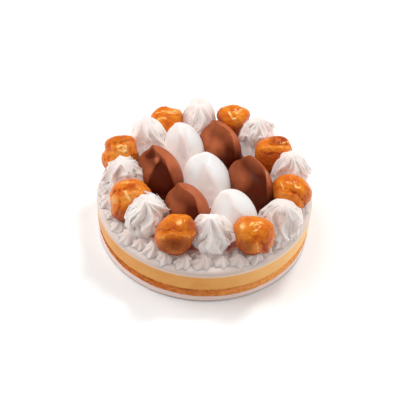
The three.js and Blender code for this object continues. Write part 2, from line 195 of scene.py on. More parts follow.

# Piped peaks. ring, bearing: place of the foot, in mm from the axis and in degrees.
# half, tip, lean: half width of the foot, height of the tip and how far it leans, in mm.
# twist: turn of the ribs up to the tip, in degrees. dome: 1 is a round top and 2 a cone.
# groove, calm: depth of the grooves and how far they fade at the back, as shares.
# lit, front, tone: painted glow at the foot and on the front, and painted shade over the whole peak, as
# shares.
# ribs: bearing in degrees, reach and height of the end in mm.
# folds: height, width and a line of points in mm to the right and up of the middle, as the camera sees them.
# A fold of a height below 0 is a groove with painted shade.
PEAKS = {
    "peak_1": {
        "ring": 75.5, "bearing": -83, "half": 19.0, "tip": 81, "lean": (-2, 1), "twist": 8, "dome": 1.3,
        "groove": 0.32, "calm": 0.4, "seed": 3, "lit": 0.27, "front": 0, "tone": 0.0,
        "ribs": [(-172, 19, 58), (-138, 17, 55), (-103, 18.5, 57), (-40, 20, 56), (5, 23, 62), (52, 17, 60),
                 (98, 16, 59), (145, 19, 64)],
        "folds": [
            (2.6, 1.3, [(-1.3, 12.0), (2.2, 6.6), (5.0, 2.2), (8.0, -2.9), (12.9, -8.2)]),
            (-0.8, 2.2, [(6.1, 4.9), (10.7, -1.4), (14.6, -5.3)]),
            (-0.4, 2.4, [(-0.0, 5.0), (1.9, -4.2)]),
            (-0.5, 2.6, [(4.1, -17.2), (11.3, -13.0)]),
            (2.2, 1.5, [(-3.7, 11.4), (-3.7, 1.1), (-2.8, -5.0), (0.2, -11.1), (-0.7, -14.7)]),
            (2.4, 2.4, [(-6.7, -16.9), (-3.6, -13.9)]),
            (2.2, 1.4, [(-16.7, -5.8), (-14.0, -4.8), (-10.7, -4.0)]),
            (-1.0, 1.8, [(-15.1, -9.4), (-10.4, -9.1)]),
            (1.9, 1.3, [(12.8, 1.6), (16.1, 1.3), (19.9, 1.1)])]},
    "peak_2": {
        "ring": 88.5, "bearing": -34.9, "half": 21.6, "tip": 77, "lean": (3, 0), "twist": -10, "dome": 0.8,
        "groove": 0.28, "calm": 0.8, "seed": 5, "lit": 0.14, "front": 0, "tone": 0.2,
        "ribs": [(-120, 20, 56), (-72, 21.5, 49), (-28, 23.5, 51), (15, 24, 52), (60, 21, 54), (115, 20, 54),
                 (165, 21.5, 53)],
        "folds": [
            (2.2, 1.4, [(0.3, 10.7), (-0.1, 2.0), (1.8, -7.4), (4.5, -14.6), (8.0, -17.0), (8.5, -20.5)]),
            (1.9, 1.4, [(6.5, 8.3), (10.2, 1.4), (15.1, -3.4)]),
            (-0.5, 4.0, [(4.7, 2.9), (8.5, -7.2), (12.5, -14.4)]),
            (-0.6, 3.0, [(-4.8, 5.4), (-2.6, -6.9)])]},
    "peak_3": {
        "ring": 88.5, "bearing": 10.6, "half": 20.4, "tip": 83, "lean": (0, 0), "twist": 8, "dome": 1.15,
        "groove": 0.27, "calm": 0.4, "seed": 8, "lit": 0.45, "front": 0.15, "tone": 0.12,
        "ribs": [(-180, 21, 56), (-140, 20, 57), (-97, 20, 58), (-45, 20, 58), (-8, 22, 57), (40, 19, 58),
                 (90, 18, 59), (140, 20, 59)],
        "folds": [
            (2.1, 1.4, [(0.4, 13.1), (0.1, 6.3), (-0.5, -0.6)]),
            (1.6, 1.4, [(-1.8, 10.7), (-4.4, 4.2), (-8.2, -2.8)]),
            (1.8, 1.4, [(4.9, 8.2), (10.9, -1.2), (17.1, -4.9)])]},
    "peak_4": {
        "ring": 84.5, "bearing": 51.5, "half": 18.4, "tip": 85, "lean": (0, 0), "twist": 10, "dome": 1.2,
        "groove": 0.28, "calm": 0.5, "seed": 13, "lit": 1.1, "front": 0.15, "tone": 0.12,
        "ribs": [(-172, 21.5, 61), (-104, 19, 63), (-65, 18, 65), (-25, 18, 66), (10, 20, 71), (55, 17, 64),
                 (100, 17, 64), (142, 18, 64)],
        "folds": [
            (2.2, 1.4, [(2.0, 14.9), (2.7, 7.8), (5.7, 1.0), (6.3, -1.5)]),
            (2.1, 1.5, [(-2.4, -5.0), (1.7, -3.0), (5.8, -2.1)]),
            (1.1, 1.5, [(-19.0, -4.0), (-15.5, -2.0), (-10.1, -2.0)]),
            (-0.3, 2.0, [(-12.8, -7.6), (-6.3, -8.0)]),
            (1.9, 1.6, [(-13.3, -13.0), (-8.6, -16.8), (-3.1, -18.4)])]},
    "peak_5": {
        "ring": 90.2, "bearing": 96.3, "half": 19.0, "tip": 86, "lean": (0, 1), "twist": 12, "dome": 0.62,
        "groove": 0.17, "calm": 0.2, "seed": 21, "lit": 0.8, "front": 0.6, "tone": 0.2,
        "ribs": [(-170, 18.8, 58), (-125, 18, 58), (-88, 18.5, 57), (-45, 18.5, 58), (0, 19.2, 58),
                 (45, 18, 60), (90, 18, 60), (140, 18, 60)],
        "folds": []},
    "peak_6": {
        "ring": 87.1, "bearing": 136.5, "half": 18.6, "tip": 86, "lean": (-2, 0), "twist": -8, "dome": 1.2,
        "groove": 0.19, "calm": 0.5, "seed": 34, "lit": 1.5, "front": 0.5, "tone": 0.1,
        "ribs": [(-178, 19.5, 57), (-128, 19.5, 53), (-80, 19, 54), (-42, 23.5, 54), (2, 25, 59),
                 (45, 17, 62), (90, 17, 62), (135, 18, 61)],
        "folds": [
            (2.4, 1.4, [(-3.0, 16.4), (-2.8, 13.2), (-1.4, 7.1), (-0.4, 0.1), (0.6, -4.6)]),
            (2.6, 1.6, [(-0.0, -5.8), (4.7, -7.4), (9.9, -7.0)]),
            (-0.5, 2.4, [(3.7, -2.2), (9.0, -2.8)]),
            (1.6, 1.4, [(2.3, 14.7), (7.3, 5.8), (10.7, -1.3)]),
            (1.4, 1.4, [(-7.4, 14.4), (-11.9, 6.0), (-13.7, -4.5)])]},
    "peak_7": {
        "ring": 84, "bearing": 179.4, "half": 20.8, "tip": 75, "lean": (1, 1), "twist": -8, "dome": 1.0,
        "groove": 0.24, "calm": 0.0, "seed": 55, "lit": 0.11, "front": 0, "tone": 0.15,
        "ribs": [(-165, 22.8, 50), (-116, 20.5, 54), (-60, 20, 59), (-8, 28, 53), (38, 20, 62),
                 (75, 19.5, 65), (115, 19.5, 64), (155, 21, 57)],
        "folds": [
            (2.6, 1.4, [(-11.3, -5.1), (-8.9, 0.2), (-4.7, 5.7), (-0.5, 10.7), (2.6, 7.5), (6.2, 1.7),
                (7.2, -1.0)]),
            (-1.0, 3.0, [(-2.2, 4.5), (-3.2, -2.5)]),
            (1.6, 1.2, [(-2.1, -2.6), (1.7, -0.7), (5.9, -1.5)]),
            (-0.8, 5.0, [(-14.6, 7.2), (-18.2, -2.7), (-15.7, -11.9)]),
            (-0.4, 2.5, [(12.2, 1.7), (14.8, -5.5)]),
            (2.1, 1.2, [(16.6, -0.0), (23.0, -1.9)])]},
    "peak_8": {
        "ring": 79.6, "bearing": -135, "half": 19.4, "tip": 79, "lean": (2, 1), "twist": 8, "dome": 1.25,
        "groove": 0.2, "calm": 0.0, "seed": 89, "lit": 0.24, "front": 0, "tone": 0.05,
        "ribs": [(-175, 20, 61), (-130, 20, 57), (-70, 19, 55), (-42, 18.5, 61), (4, 26.5, 58), (35, 21, 67),
                 (65, 19, 70), (100, 18, 70), (145, 19, 66)],
        "folds": [
            (2.6, 1.5, [(0.4, 13.1), (-1.3, 9.7), (-3.1, 4.6), (-4.9, -1.8), (-9.9, -6.9), (-14.1, -8.9)]),
            (2.6, 1.5, [(1.8, 13.1), (2.4, 9.6), (4.7, 3.2), (6.8, -2.2), (7.6, -7.5)]),
            (2.9, 2.6, [(5.9, -9.0), (1.0, -11.7), (-2.4, -14.5)]),
            (-1.0, 3.0, [(-13.3, -12.2), (-7.8, -11.4), (-4.1, -7.7)]),
            (-0.5, 3.0, [(10.1, 3.2), (14.7, -1.7)]),
            (-0.4, 2.5, [(0.5, 2.6), (1.3, -4.1)]),
            (1.9, 1.5, [(4.6, 11.0), (13.1, 7.9), (22.5, 4.3)]),
            (-0.8, 3.0, [(-13.5, -18.9), (-6.8, -19.1), (0.7, -21.3)])]},
}
PEAK_COLUMNS = 198
PEAK_LOWER_ROWS = 10
PEAK_UPPER_ROWS = 30

# Hem of the star of a peak: its rise in the grooves, its droop on the ribs, how far the ring below is tucked
# in under it and how far up it reaches, all as shares of the height, and the sway of the ribs (degrees).
HEM_RISE = 0.2
HEM_DROOP = 0.03
HEM_TUCK = 0.05
HEM_SPAN = 0.25
PEAK_SWAY = 11

# Ruffles of the skin of a peak: how far it moves, and waves per metre.
PEAK_RUFFLES = ((0.9 * MM, 55), (0.2 * MM, 140))

# Ribs of a peak: the share of their flat sides, how fast these fall, and the width and share of the edge.
RIB_SIDE = 0.6
RIB_FALL = 1.4
RIB_WIDTH = 0.1
RIB_EDGE = 0.4

# Ring below the star of a peak, as shares of the half width: its ends, its swell, and its slack and folds.
RING_WIDTH = 0.8
RING_SWELL = 0.17
RING_SLACK = 0.87
RING_FOLD = 0.19

# Drawn grooves of the peaks: how far they sink and how much painted shade they take, as shares of their
# height. Folds fade out from their line with this power.
GROOVE_SINK = 0.35
GROOVE_DARK = 0.7
FOLD_EDGE = 1.3

# Painted glow of a peak: the heights from which none and all of it shows at the foot, and the turns of the
# skin to the front, as the Y of its normal, from which none and all of it shows there.
LIT_NONE = 64 * MM
LIT_FULL = 48 * MM
LIT_FRONT = (0.3, -0.7)

# Small stars of the rim: their cage, the depth of their grooves (share) and their twist (radians).
STAR_RIBS = 7
STAR_COLUMNS = 56
STAR_ROWS = 10
STAR_GROOVE = 0.3
STAR_TWIST = 0.5

# How the stars are set: the first bearing (radians), how far each strays in bearing (share of a step), in
# distance, in size and height (shares) and in lean (radians), how deep it sits, its ruffles as for a peak,
# and the size of the inner ones as a share.
STAR_START = 0.09
STAR_SWAY = 0.14
STAR_STRAY = 1.3 * MM
STAR_GROW = 0.09
STAR_STRETCH = 0.16
STAR_LEAN = 0.09
STAR_SINK = 1.4 * MM
STAR_RUFFLES = ((1.3 * MM, 110), (0.6 * MM, 320))
INNER_SIZE = 0.9

# Dollops. x, y, length, width, top: middle of the footprint, its size and the height of the top, in mm.
# crest: its place round the cross section at the back, the middle and the front, in degrees from the right.
# tone, back: how much painted shade the left side takes all along and at its back, as shares.
# late: how late the painted shade of the front end of the left side begins, as a share of the half length.
# facets: depth (mm), shade, softness (mm) and a convex outline in mm to the right and up of the middle, as
# the camera sees it. A shade above 0 is painted shade, below 0 painted light.
DOLLOP_BEARING = -58
DOLLOP_SEGMENTS = 144
DOLLOP_RINGS = 96
DOLLOPS = {
    "chocolate_dollop_1": {
        "x": -45.3, "y": 3.7, "length": 59, "width": 42, "top": 85, "crest": (77, 106, 83),
        "tone": 0.14, "back": 0.2, "late": 0.0,
        "facets": [
            (0.8, 0.45, 1.4, [(-15.3, 26.4), (-8.3, 28.3), (-4.8, 22.3), (-4.4, 14.7), (-10.4, 13.3),
                (-16.5, 16.3), (-18.4, 21.4)]),
            (1.4, 0.5, 1.4, [(0.6, 13.7), (10.5, -4.0), (15.3, -24.2), (-14.9, -24.0), (-10.6, -3.9)]),
            (-0.6, -0.8, 1.0, [(-4.4, 15.2), (-0.9, 13.2), (-0.9, 9.7), (-4.0, 7.7), (-5.9, 11.2)]),
            (-0.6, -0.05, 1.5, [(2.7, 14.2), (10.7, 17.1), (16.7, 9.0), (12.5, -2.0), (6.6, 4.1)])]},
    "chocolate_dollop_2": {
        "x": 14.4, "y": 50.2, "length": 54, "width": 40, "top": 84.5, "crest": (88, 89, 72),
        "tone": 0.0, "back": 0.0, "late": 0.17,
        "facets": [
            (-0.8, -0.2, 1.0, [(7.2, 11.8), (11.4, 12.1), (20.3, -4.2), (16.8, -7.5)]),
            (0.0, -0.08, 4.0, [(-16.2, 16.7), (-8.0, 20.4), (-2.3, 12.3), (-3.8, 2.8), (-13.2, 2.2)])]},
    "chocolate_dollop_3": {
        "x": 45.8, "y": -6, "length": 58, "width": 40, "top": 85, "crest": (60, 69, 80),
        "tone": 0.38, "back": 0.0, "late": 0.0,
        "facets": [
            (-0.8, -0.4, 1.0, [(10.7, 13.8), (14.8, 12.2), (20.8, -2.2), (17.2, -1.6)])]},
    "chocolate_dollop_4": {
        "x": -15.8, "y": -44.3, "length": 52, "width": 41, "top": 82, "crest": (93, 93, 83),
        "tone": 0.1, "back": 0.0, "late": 0.0,
        "facets": [
            (-0.6, -0.12, 1.2, [(-1.0, 20.3), (5.9, 17.6), (15.9, 2.4), (17.1, -11.1), (14.3, -11.2)]),
            (0.0, -0.12, 2.0, [(-21.0, 9.2), (-16.3, 16.1), (-13.2, 5.6), (-16.9, -0.3)])]},
    "vanilla_dollop_1": {
        "x": -22.9, "y": 47.5, "length": 50, "width": 38, "top": 84, "crest": (98, 87, 132),
        "tone": 0.25, "back": 0.0, "late": 0.0,
        "facets": [
            (1.2, 0.5, 3.0, [(-4.4, 17.8), (0.9, 17.9), (4.4, -2.9), (1.5, -13.4), (-6.0, -5.2)])]},
    "vanilla_dollop_2": {
        "x": 2.6, "y": 1.4, "length": 56, "width": 44, "top": 82, "crest": (50, 95, 115),
        "tone": 0.0, "back": 0.0, "late": 0.0,
        "facets": [
            (1.2, 0.5, 3.5, [(-5.4, 10.6), (0.7, 8.8), (7.6, -9.0), (-3.3, -12.5), (-10.7, -5.8)])]},
    "vanilla_dollop_3": {
        "x": 30.4, "y": -48, "length": 50, "width": 41, "top": 82, "crest": (104, 110, 88),
        "tone": 0.1, "back": 0.0, "late": 0.0,
        "facets": [
            (0.8, 0.3, 3.0, [(-10.5, 17.4), (-5.5, 15.9), (4.4, 1.3), (-2.1, -1.2)])]},
}

# Shape of a dollop as shares: the height of its middle as the camera sees it, how it narrows to the front,
# the level of its widest line and the rise above it, the roundness of its ends, and how blunt, square, wide
# and long its foot is. The crest sways by an angle, and its right, its left and the hollow have widths, in
# radians.
DOLLOP_HEART = 0.45
DOLLOP_TAPER = 0.05
EGG_LEVEL = 0.36
EGG_RISE = 0.55
EGG_END = 0.85
FOOT_BLUNT = 0.45
FOOT_SQUARE = 0.4
FOOT_WIDE = 0.14
FOOT_LONG = 0.1
CREST_SWAY = 0.09
CREST_RIGHT = 0.5
CREST_LEFT = 0.12
HOLLOW_WIDTH = 0.42

# How much painted shade a dollop takes low down, at its front end and in its hollow, and how much more
# painted glow its left side takes.
LOW_DARK = 0.7
FRONT_DARK = 0.85
HOLLOW_DARK = 3.2
LEFT_GLOW = 0.22

# Skin of the puffs: the mesh of the ball, the step of the glaze and the size of the bare puff below it, and
# lumps and creases as shares of the radius, each with its waves over the radius, the axes on which the seed
# moves it and, for a crease, its sharpness.
PUFF_SEGMENTS = 160
PUFF_RINGS = 104
GLAZE_STEP = 0.02
BARE_SIZE = 0.98
PUFF_LUMPS = ((0.03, 1.6, (1, 0, 0)), (0.022, 3.6, (0, 1, 0)), (0.016, 8, (0, 0, 1)))
PUFF_CREASES = ((0.026, 4.4, (1, 1, 0), 12), (0.014, 8.5, (1, 0, 1), 10))

# Edge of the glaze in radians: how far in and out of the hem it thins, and the place and width of its bead.
HEM_IN = 0.12
HEM_OUT = 0.16
BEAD_IN = 0.09
BEAD_WIDTH = 0.1

# Wave of the hem: how much wider it swings than the table says, its steps round the puff, and the share and
# the seed of the short one against the long one.
HEM_SWING = 1.6
HEM_LONG = 1.1
HEM_SHORT = 3.2
HEM_SHORT_SHARE = 0.6
HEM_SHORT_SEED = 5

# Lines drawn on a puff: how much wider and fainter they are than their table says, and their strength, which
# comes and goes along them: its middle, its swing and its waves over the radius.
LINE_SPREAD = 1.15
LINE_TONE = 0.75
LINE_STRENGTH = 0.85
LINE_SWING = 1.1
LINE_WAVES = 6

# Ripples that bend the lines and marks: sizes and waves over the radius, long and short, and their seed.
# Without the seed the ripples would start from the clock and differ in each build.
RIPPLE_LONG = 0.05
RIPPLE_LONG_WAVES = 4
RIPPLE_SHORT = 0.03
RIPPLE_SHORT_WAVES = 11
RIPPLE_SEED = 1795794105

# The face of a puff: the turns to the camera at which it begins and is full, and the painted shade of its
# lower edge.
FACE = (-0.1, 0.3)
UNDER_SHADE = 0.6

# Drawn folds and facets fade out where the skin turns from the camera, over this depth in mm.
FACING = 4

# Small detail of the layers: segments of a rounded rim, the flat band inside it, the roundings that are not
# settings, and where the wall begins, as a share of the radius. Points closer in height than the last value
# are at one level.
RIM_SEGMENTS = 6
RIM_BAND = 1.5 * MM
BASE_RIM = 0.8 * MM
CUT_RIM = 0.4 * MM
CREAM_FOOT_RIM = 0.3 * MM
WALL_SHARE = 0.9
SAME_LEVEL = 1e-6

# The sponge begins higher on its thin side: bearing and spread (degrees), rise and waves.
THIN_BEARING = 178
THIN_SPREAD = 52
THIN_RISE = 4.2 * MM
FOOT_WAVE = 0.5 * MM

# The top cream: how far down its wall begins to take painted shade and is fully shaded, where the painted
# shade between the toppings ends and how softly, and its own faint painted glow.
WALL_TURN = 0.3 * MM
WALL_DOWN = 3.5 * MM
GAP_SHADE_REACH = 91 * MM
GAP_SHADE_SOFT = 5 * MM
TOP_GLOW = (0.03, 0.028, 0.027)

# The tone from which glaze takes a painted glint, and the tone of a full painted glint.
GLINT = (-1.0, -1.8)

# Steps between the seeds of the noise.
SEED_STEP = (7.31, 3.17, 5.73)
RING_SEED_STEP = 4.37

# Lights: direction from the cake, distance and size (m), power (W), colour, and whether gloss mirrors them.
DAYLIGHT = (1.0, 0.98, 0.96)
ROOM_LIGHT = (1.0, 0.98, 0.97)
WARM_LIGHT = (1.0, 0.95, 0.92)
LIGHTS = {
    "key_light": ((0.3, 0.44, 0.88), 1.3, 0.3, 6.3, DAYLIGHT, True),
    "glint_light": ((-0.72, 0.36, 0.56), 1.3, 0.14, 0.9, DAYLIGHT, True),
    "top_light": ((-0.45, 0.1, 1.0), 1.4, 1.0, 7.0, ROOM_LIGHT, False),
    "right_fill": ((1.0, 0.0, 0.4), 1.3, 0.9, 5.5, ROOM_LIGHT, False),
    "left_fill": ((-1.0, 0.1, 0.45), 1.3, 0.9, 4.8, ROOM_LIGHT, False),
    "front_fill": ((0.15, -1.0, 0.35), 1.3, 0.9, 0.6, WARM_LIGHT, False),
}
SKY_COLOUR = (1.0, 0.94, 0.91)
SKY_STRENGTH = 0.4

# The floor, just below the cake.
FLOOR_SIZE = 6
FLOOR_GAP = 0.2 * MM
FLOOR_COLOUR = (0.92, 0.96, 0.98)
FLOOR_GLOW = 0.05

# The view: the photograph's camera, found from the edges of the layers.
FRAME_PIXELS = 404
FOCAL_PIXELS = 776
SENSOR = 36
NEAR_CLIP = 0.01
CAMERA_PLACE = (0.0, -571.5 * MM, 591.95 * MM)
CAMERA_PITCH = 44.75
CAMERA_YAW = 0.225
CAMERA_ROLL = 2.41


def linear(red, green, blue):
    """A screen colour of 0 to 255 as the linear colour that shaders take."""
    def channel(value):
        share = value / 255
        return share / 12.92 if share <= 0.04045 else ((share + 0.055) / 1.055) ** 2.4
    return (channel(red), channel(green), channel(blue))


def smooth(low, high, value):
    """0 at low, 1 at high and an even S between them; low may be the greater one."""
    t = min(1.0, max(0.0, (value - low) / (high - low)))
    return t * t * (3 - 2 * t)


def wander(point, scale, seed):
    """Smooth seeded noise between about -1 and 1 at a point in metres; scale is waves per metre."""
    shift = Vector([seed * step for step in SEED_STEP])
    return noise.noise(Vector(point) * scale + shift)


def around(angle, step, seed):
    """Smooth seeded noise round a circle, with no seam."""
    point = Vector((math.cos(angle) * step, math.sin(angle) * step, seed * RING_SEED_STEP))
    return noise.noise(point)


def deselect():
    bpy.ops.object.select_all(action="DESELECT")


def activate(piece):
    deselect()
    piece.select_set(True)
    bpy.context.view_layer.objects.active = piece


@contextmanager
def edit_mode(select_mode="VERT"):
    bpy.ops.object.mode_set(mode="EDIT")
    bpy.ops.mesh.select_mode(type=select_mode)
    yield
    bpy.ops.object.mode_set(mode="OBJECT")


def clear_selection(mesh):
    for group in (mesh.vertices, mesh.edges, mesh.polygons):
        group.foreach_set("select", [False] * len(group))


def select_edges(mesh, rule):
    """Selects the edges whose two end points meet a rule. Object mode only."""
    clear_selection(mesh)
    points = mesh.vertices
    for edge in mesh.edges:
        first, second = edge.vertices
        if rule(points[first].co, points[second].co):
            edge.select = True


def added(name):
    """The object that was added last, under a name."""
    piece = bpy.context.object
    piece.name = name
    return piece


def own_copy(piece, name):
    """A copy of a modelled piece with its own mesh."""
    activate(piece)
    bpy.ops.object.duplicate(linked=False)
    copy = added(name)
    copy.data.name = name
    return copy


def note(piece, label, values):
    """Keeps a value for each point of a piece as an attribute that its material reads."""
    piece.data.attributes.new(label, "FLOAT", "POINT").data.foreach_set("value", values)


def unit_ball(name, segments, rings):
    deselect()
    bpy.ops.mesh.primitive_uv_sphere_add(segments=segments, ring_count=rings, radius=1.0)
    return added(name)


def draw_out(ball, skin):
    """Moves the points of a unit ball to their places on a skin, and returns what else the skin says."""
    places, *notes = zip(*(skin(point.co.copy()) for point in ball.data.vertices))
    for point, place in zip(ball.data.vertices, places):
        point.co = place
    return notes


def remove(piece):
    activate(piece)
    bpy.ops.object.delete()


def dress(piece, node, slot, material):
    """Gives a finished piece its material and its place in the frame."""
    activate(piece)
    bpy.ops.object.transform_apply(location=True, rotation=True, scale=True)
    bpy.ops.object.shade_smooth()
    piece.data.materials.clear()
    piece.data.materials.append(material)
    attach(piece, BODY)
    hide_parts(node)


# Materials


def link(tree, source, target):
    tree.links.new(source, target)


def add_node(tree, kind, **values):
    """A shader node with its inputs set by name; spaces in a name are written as underscores."""
    made = tree.nodes.new(kind)
    for key, value in values.items():
        made.inputs[key.replace("_", " ")].default_value = value
    return made


def new_group(name, inputs, outputs):
    tree = bpy.data.node_groups.new(name, "ShaderNodeTree")
    for label, kind in inputs:
        tree.interface.new_socket(label, in_out="INPUT", socket_type=kind)
    for label, kind in outputs:
        tree.interface.new_socket(label, in_out="OUTPUT", socket_type=kind)
    return tree, tree.nodes.new("NodeGroupInput"), tree.nodes.new("NodeGroupOutput")


def mottle_group():
    """Blends two colours in soft uneven patches."""
    inputs = [("Main", "NodeSocketColor"), ("Patch", "NodeSocketColor"), ("Scale", "NodeSocketFloat")]
    tree, given, out = new_group("Mottle", inputs, [("Colour", "NodeSocketColor")])
    place = tree.nodes.new("ShaderNodeTexCoord")
    clouds = add_node(tree, "ShaderNodeTexNoise", Detail=4.0, Roughness=0.55)
    spread = add_node(tree, "ShaderNodeMapRange", From_Min=0.35, From_Max=0.68)
    mix = tree.nodes.new("ShaderNodeMix")
    mix.data_type = "RGBA"
    link(tree, place.outputs["Object"], clouds.inputs["Vector"])
    link(tree, given.outputs["Scale"], clouds.inputs["Scale"])
    link(tree, clouds.outputs["Fac"], spread.inputs["Value"])
    link(tree, spread.outputs["Result"], mix.inputs["Factor"])
    link(tree, given.outputs["Main"], mix.inputs["A"])
    link(tree, given.outputs["Patch"], mix.inputs["B"])
    link(tree, mix.outputs["Result"], out.inputs["Colour"])
    return tree


def grain_group():
    """Fine bubbles and soft streaks as a height."""
    tree, given, out = new_group("Grain", [("Scale", "NodeSocketFloat")], [("Height", "NodeSocketFloat")])
    place = tree.nodes.new("ShaderNodeTexCoord")
    bubbles = add_node(tree, "ShaderNodeTexVoronoi", Randomness=1.0)
    streaks = add_node(tree, "ShaderNodeTexNoise", Detail=3.0, Roughness=0.6)
    total = tree.nodes.new("ShaderNodeMath")
    total.operation = "ADD"
    link(tree, place.outputs["Object"], bubbles.inputs["Vector"])
    link(tree, place.outputs["Object"], streaks.inputs["Vector"])
    link(tree, given.outputs["Scale"], bubbles.inputs["Scale"])
    link(tree, given.outputs["Scale"], streaks.inputs["Scale"])
    link(tree, bubbles.outputs["Distance"], total.inputs[0])
    link(tree, streaks.outputs["Fac"], total.inputs[1])
    link(tree, total.outputs["Value"], out.inputs["Height"])
    return tree


def group_node(tree, name, **values):
    """Places a shared group, made at its first use."""
    makers = {"Mottle": mottle_group, "Grain": grain_group}
    made = tree.nodes.new("ShaderNodeGroup")
    made.node_tree = bpy.data.node_groups.get(name) or makers[name]()
    for key, value in values.items():
        made.inputs[key].default_value = value
    return made


def rgba(colour):
    return (*colour, 1.0)


def start_material(name, roughness, specular):
    material = bpy.data.materials.new(name)
    material.use_nodes = True
    tree = material.node_tree
    shader = tree.nodes["Principled BSDF"]
    shader.inputs["Roughness"].default_value = roughness
    shader.inputs["Specular IOR Level"].default_value = specular
    return material, tree, shader


def mottled(tree, main, patch, scale):
    """One colour with soft patches of another; scale is patches per metre."""
    return group_node(tree, "Mottle", Main=rgba(main), Patch=rgba(patch), Scale=scale).outputs["Colour"]


def paint(tree, shader, main, patch, scale):
    """Gives a material one colour with soft patches of another."""
    link(tree, mottled(tree, main, patch, scale), shader.inputs["Base Color"])


def add_grain(tree, shader, scale, distance, strength):
    """Fine bubbles in the surface; scale is bubbles per metre."""
    grain = group_node(tree, "Grain", Scale=scale)
    bump = add_node(tree, "ShaderNodeBump", Strength=strength, Distance=distance)
    link(tree, grain.outputs["Height"], bump.inputs["Height"])
    link(tree, bump.outputs["Normal"], shader.inputs["Normal"])


def soft_inside(shader, weight, radius):
    """Lets light into the cream, by a reach for red, green and blue."""
    shader.inputs["Subsurface Weight"].default_value = weight
    shader.inputs["Subsurface Radius"].default_value = radius
    shader.inputs["Subsurface Scale"].default_value = 1.0


def blend_colours(tree, factor, below, above):
    """Blends two colours; each is a socket or a plain colour."""
    blend = tree.nodes.new("ShaderNodeMix")
    blend.data_type = "RGBA"
    link(tree, factor, blend.inputs["Factor"])
    for label, colour in (("A", below), ("B", above)):
        if isinstance(colour, bpy.types.NodeSocket):
            link(tree, colour, blend.inputs[label])
        else:
            blend.inputs[label].default_value = rgba(colour)
    return blend.outputs["Result"]


def place_value(tree, axis, low, high):
    """Runs from 0 to 1 as a place on the piece passes between two values along an axis."""
    place = tree.nodes.new("ShaderNodeTexCoord")
    split = tree.nodes.new("ShaderNodeSeparateXYZ")
    span = add_node(tree, "ShaderNodeMapRange", From_Min=low, From_Max=high)
    link(tree, place.outputs["Object"], split.inputs["Vector"])
    link(tree, split.outputs[axis], span.inputs["Value"])
    return span.outputs["Result"]


def inside_value(tree, reach, soft):
    """Runs from 0 at a reach from the axis of the cake to 1 a little further in."""
    place = tree.nodes.new("ShaderNodeTexCoord")
    flat = tree.nodes.new("ShaderNodeVectorMath")
    flat.operation = "MULTIPLY"
    flat.inputs[1].default_value = (1, 1, 0)
    far = tree.nodes.new("ShaderNodeVectorMath")
    far.operation = "LENGTH"
    span = add_node(tree, "ShaderNodeMapRange", From_Min=reach, From_Max=reach - soft)
    link(tree, place.outputs["Object"], flat.inputs[0])
    link(tree, flat.outputs["Vector"], far.inputs[0])
    link(tree, far.outputs["Value"], span.inputs["Value"])
    return span.outputs["Result"]


def attribute_value(tree, name, low=0.0, high=1.0):
    """Runs from 0 to 1 as an attribute of the piece runs between two values."""
    value = tree.nodes.new("ShaderNodeAttribute")
    value.attribute_name = name
    span = add_node(tree, "ShaderNodeMapRange", From_Min=low, From_Max=high)
    link(tree, value.outputs["Fac"], span.inputs["Value"])
    return span.outputs["Result"]


def tint_by(material, factor, colour):
    """Blends the colour of a material to another one."""
    tree = material.node_tree
    target = tree.nodes["Principled BSDF"].inputs["Base Color"]
    link(tree, blend_colours(tree, factor, target.links[0].from_socket, colour), target)


def paint_glow(material, factor, below, above):
    """Painted light between two colours, given off by the material as a glow."""
    tree = material.node_tree
    shader = tree.nodes["Principled BSDF"]
    link(tree, blend_colours(tree, factor, below, above), shader.inputs["Emission Color"])
    shader.inputs["Emission Strength"].default_value = 1.0


def whipped_material(name, main, patch, roughness):
    """Whipped cream: nearly white, soft inside, with a breath of warm patches."""
    material, tree, shader = start_material(name, roughness, specular=0.3)
    paint(tree, shader, main, patch, scale=90)
    add_grain(tree, shader, scale=900, distance=0.3 * MM, strength=0.12)
    soft_inside(shader, weight=0.6, radius=(4 * MM, 3.2 * MM, 2.8 * MM))
    return material


def tint_below(material, high, low, colour):
    """Blends the colour to another one from a height down to a lower one."""
    tint_by(material, place_value(material.node_tree, "Z", high, low), colour)


def shade_gaps(material, gap_shade, glow):
    """Paints warm shade and glow on the top between the toppings, and a faint painted glow elsewhere."""
    inside = inside_value(material.node_tree, GAP_SHADE_REACH, GAP_SHADE_SOFT)
    tint_by(material, inside, gap_shade)
    paint_glow(material, inside, TOP_GLOW, glow)


def chocolate_material(colours):
    """Chocolate cream: brown with soft paler streaks, with painted light on lit facets and painted shade in
    hollows.
    """
    material, tree, shader = start_material("chocolate_cream", roughness=0.5, specular=0.14)
    paint(tree, shader, colours.chocolate, colours.chocolate_patch, scale=70)
    # Painted light on lit facets, then painted shade in hollows, low down and at the front end.
    tint_by(material, attribute_value(tree, "shade", high=-1.0), colours.chocolate_lit)
    tint_by(material, attribute_value(tree, "shade"), colours.chocolate_shade)
    add_grain(tree, shader, scale=700, distance=0.3 * MM, strength=0.15)
    return material


def vanilla_material(colours):
    """Vanilla cream: white and soft inside, with warm painted shade in its hollows and painted glow on its
    sides.
    """
    material, tree, shader = start_material("vanilla_cream", roughness=0.45, specular=0.3)
    paint(tree, shader, colours.vanilla, colours.vanilla_patch, scale=90)
    # Painted shade in the hollows and at the foot.
    tint_by(material, attribute_value(tree, "shade"), colours.vanilla_shade)
    add_grain(tree, shader, scale=900, distance=0.3 * MM, strength=0.1)
    soft_inside(shader, weight=0.9, radius=(12 * MM, 10 * MM, 9 * MM))
    # Painted glow, more on the sides and the left.
    paint_glow(material, attribute_value(tree, "side"), colours.vanilla_glow, colours.side_glow)
    return material


def custard_material(colours, top):
    """Cut custard: yellow with faint clouds, paler where the cream lies on it, with painted light on the
    right.
    """
    material, tree, shader = start_material("custard", roughness=0.45, specular=0.35)
    paint(tree, shader, colours.custard, colours.custard_patch, scale=60)
    # Painted light on the right side.
    tint_by(material, place_value(tree, "X", low=20 * MM, high=105 * MM), colours.custard_lit)
    tint_by(material, place_value(tree, "Z", low=top - 3 * MM, high=top + 1.5 * MM), colours.cream_patch)
    add_grain(tree, shader, scale=500, distance=0.25 * MM, strength=0.15)
    return material


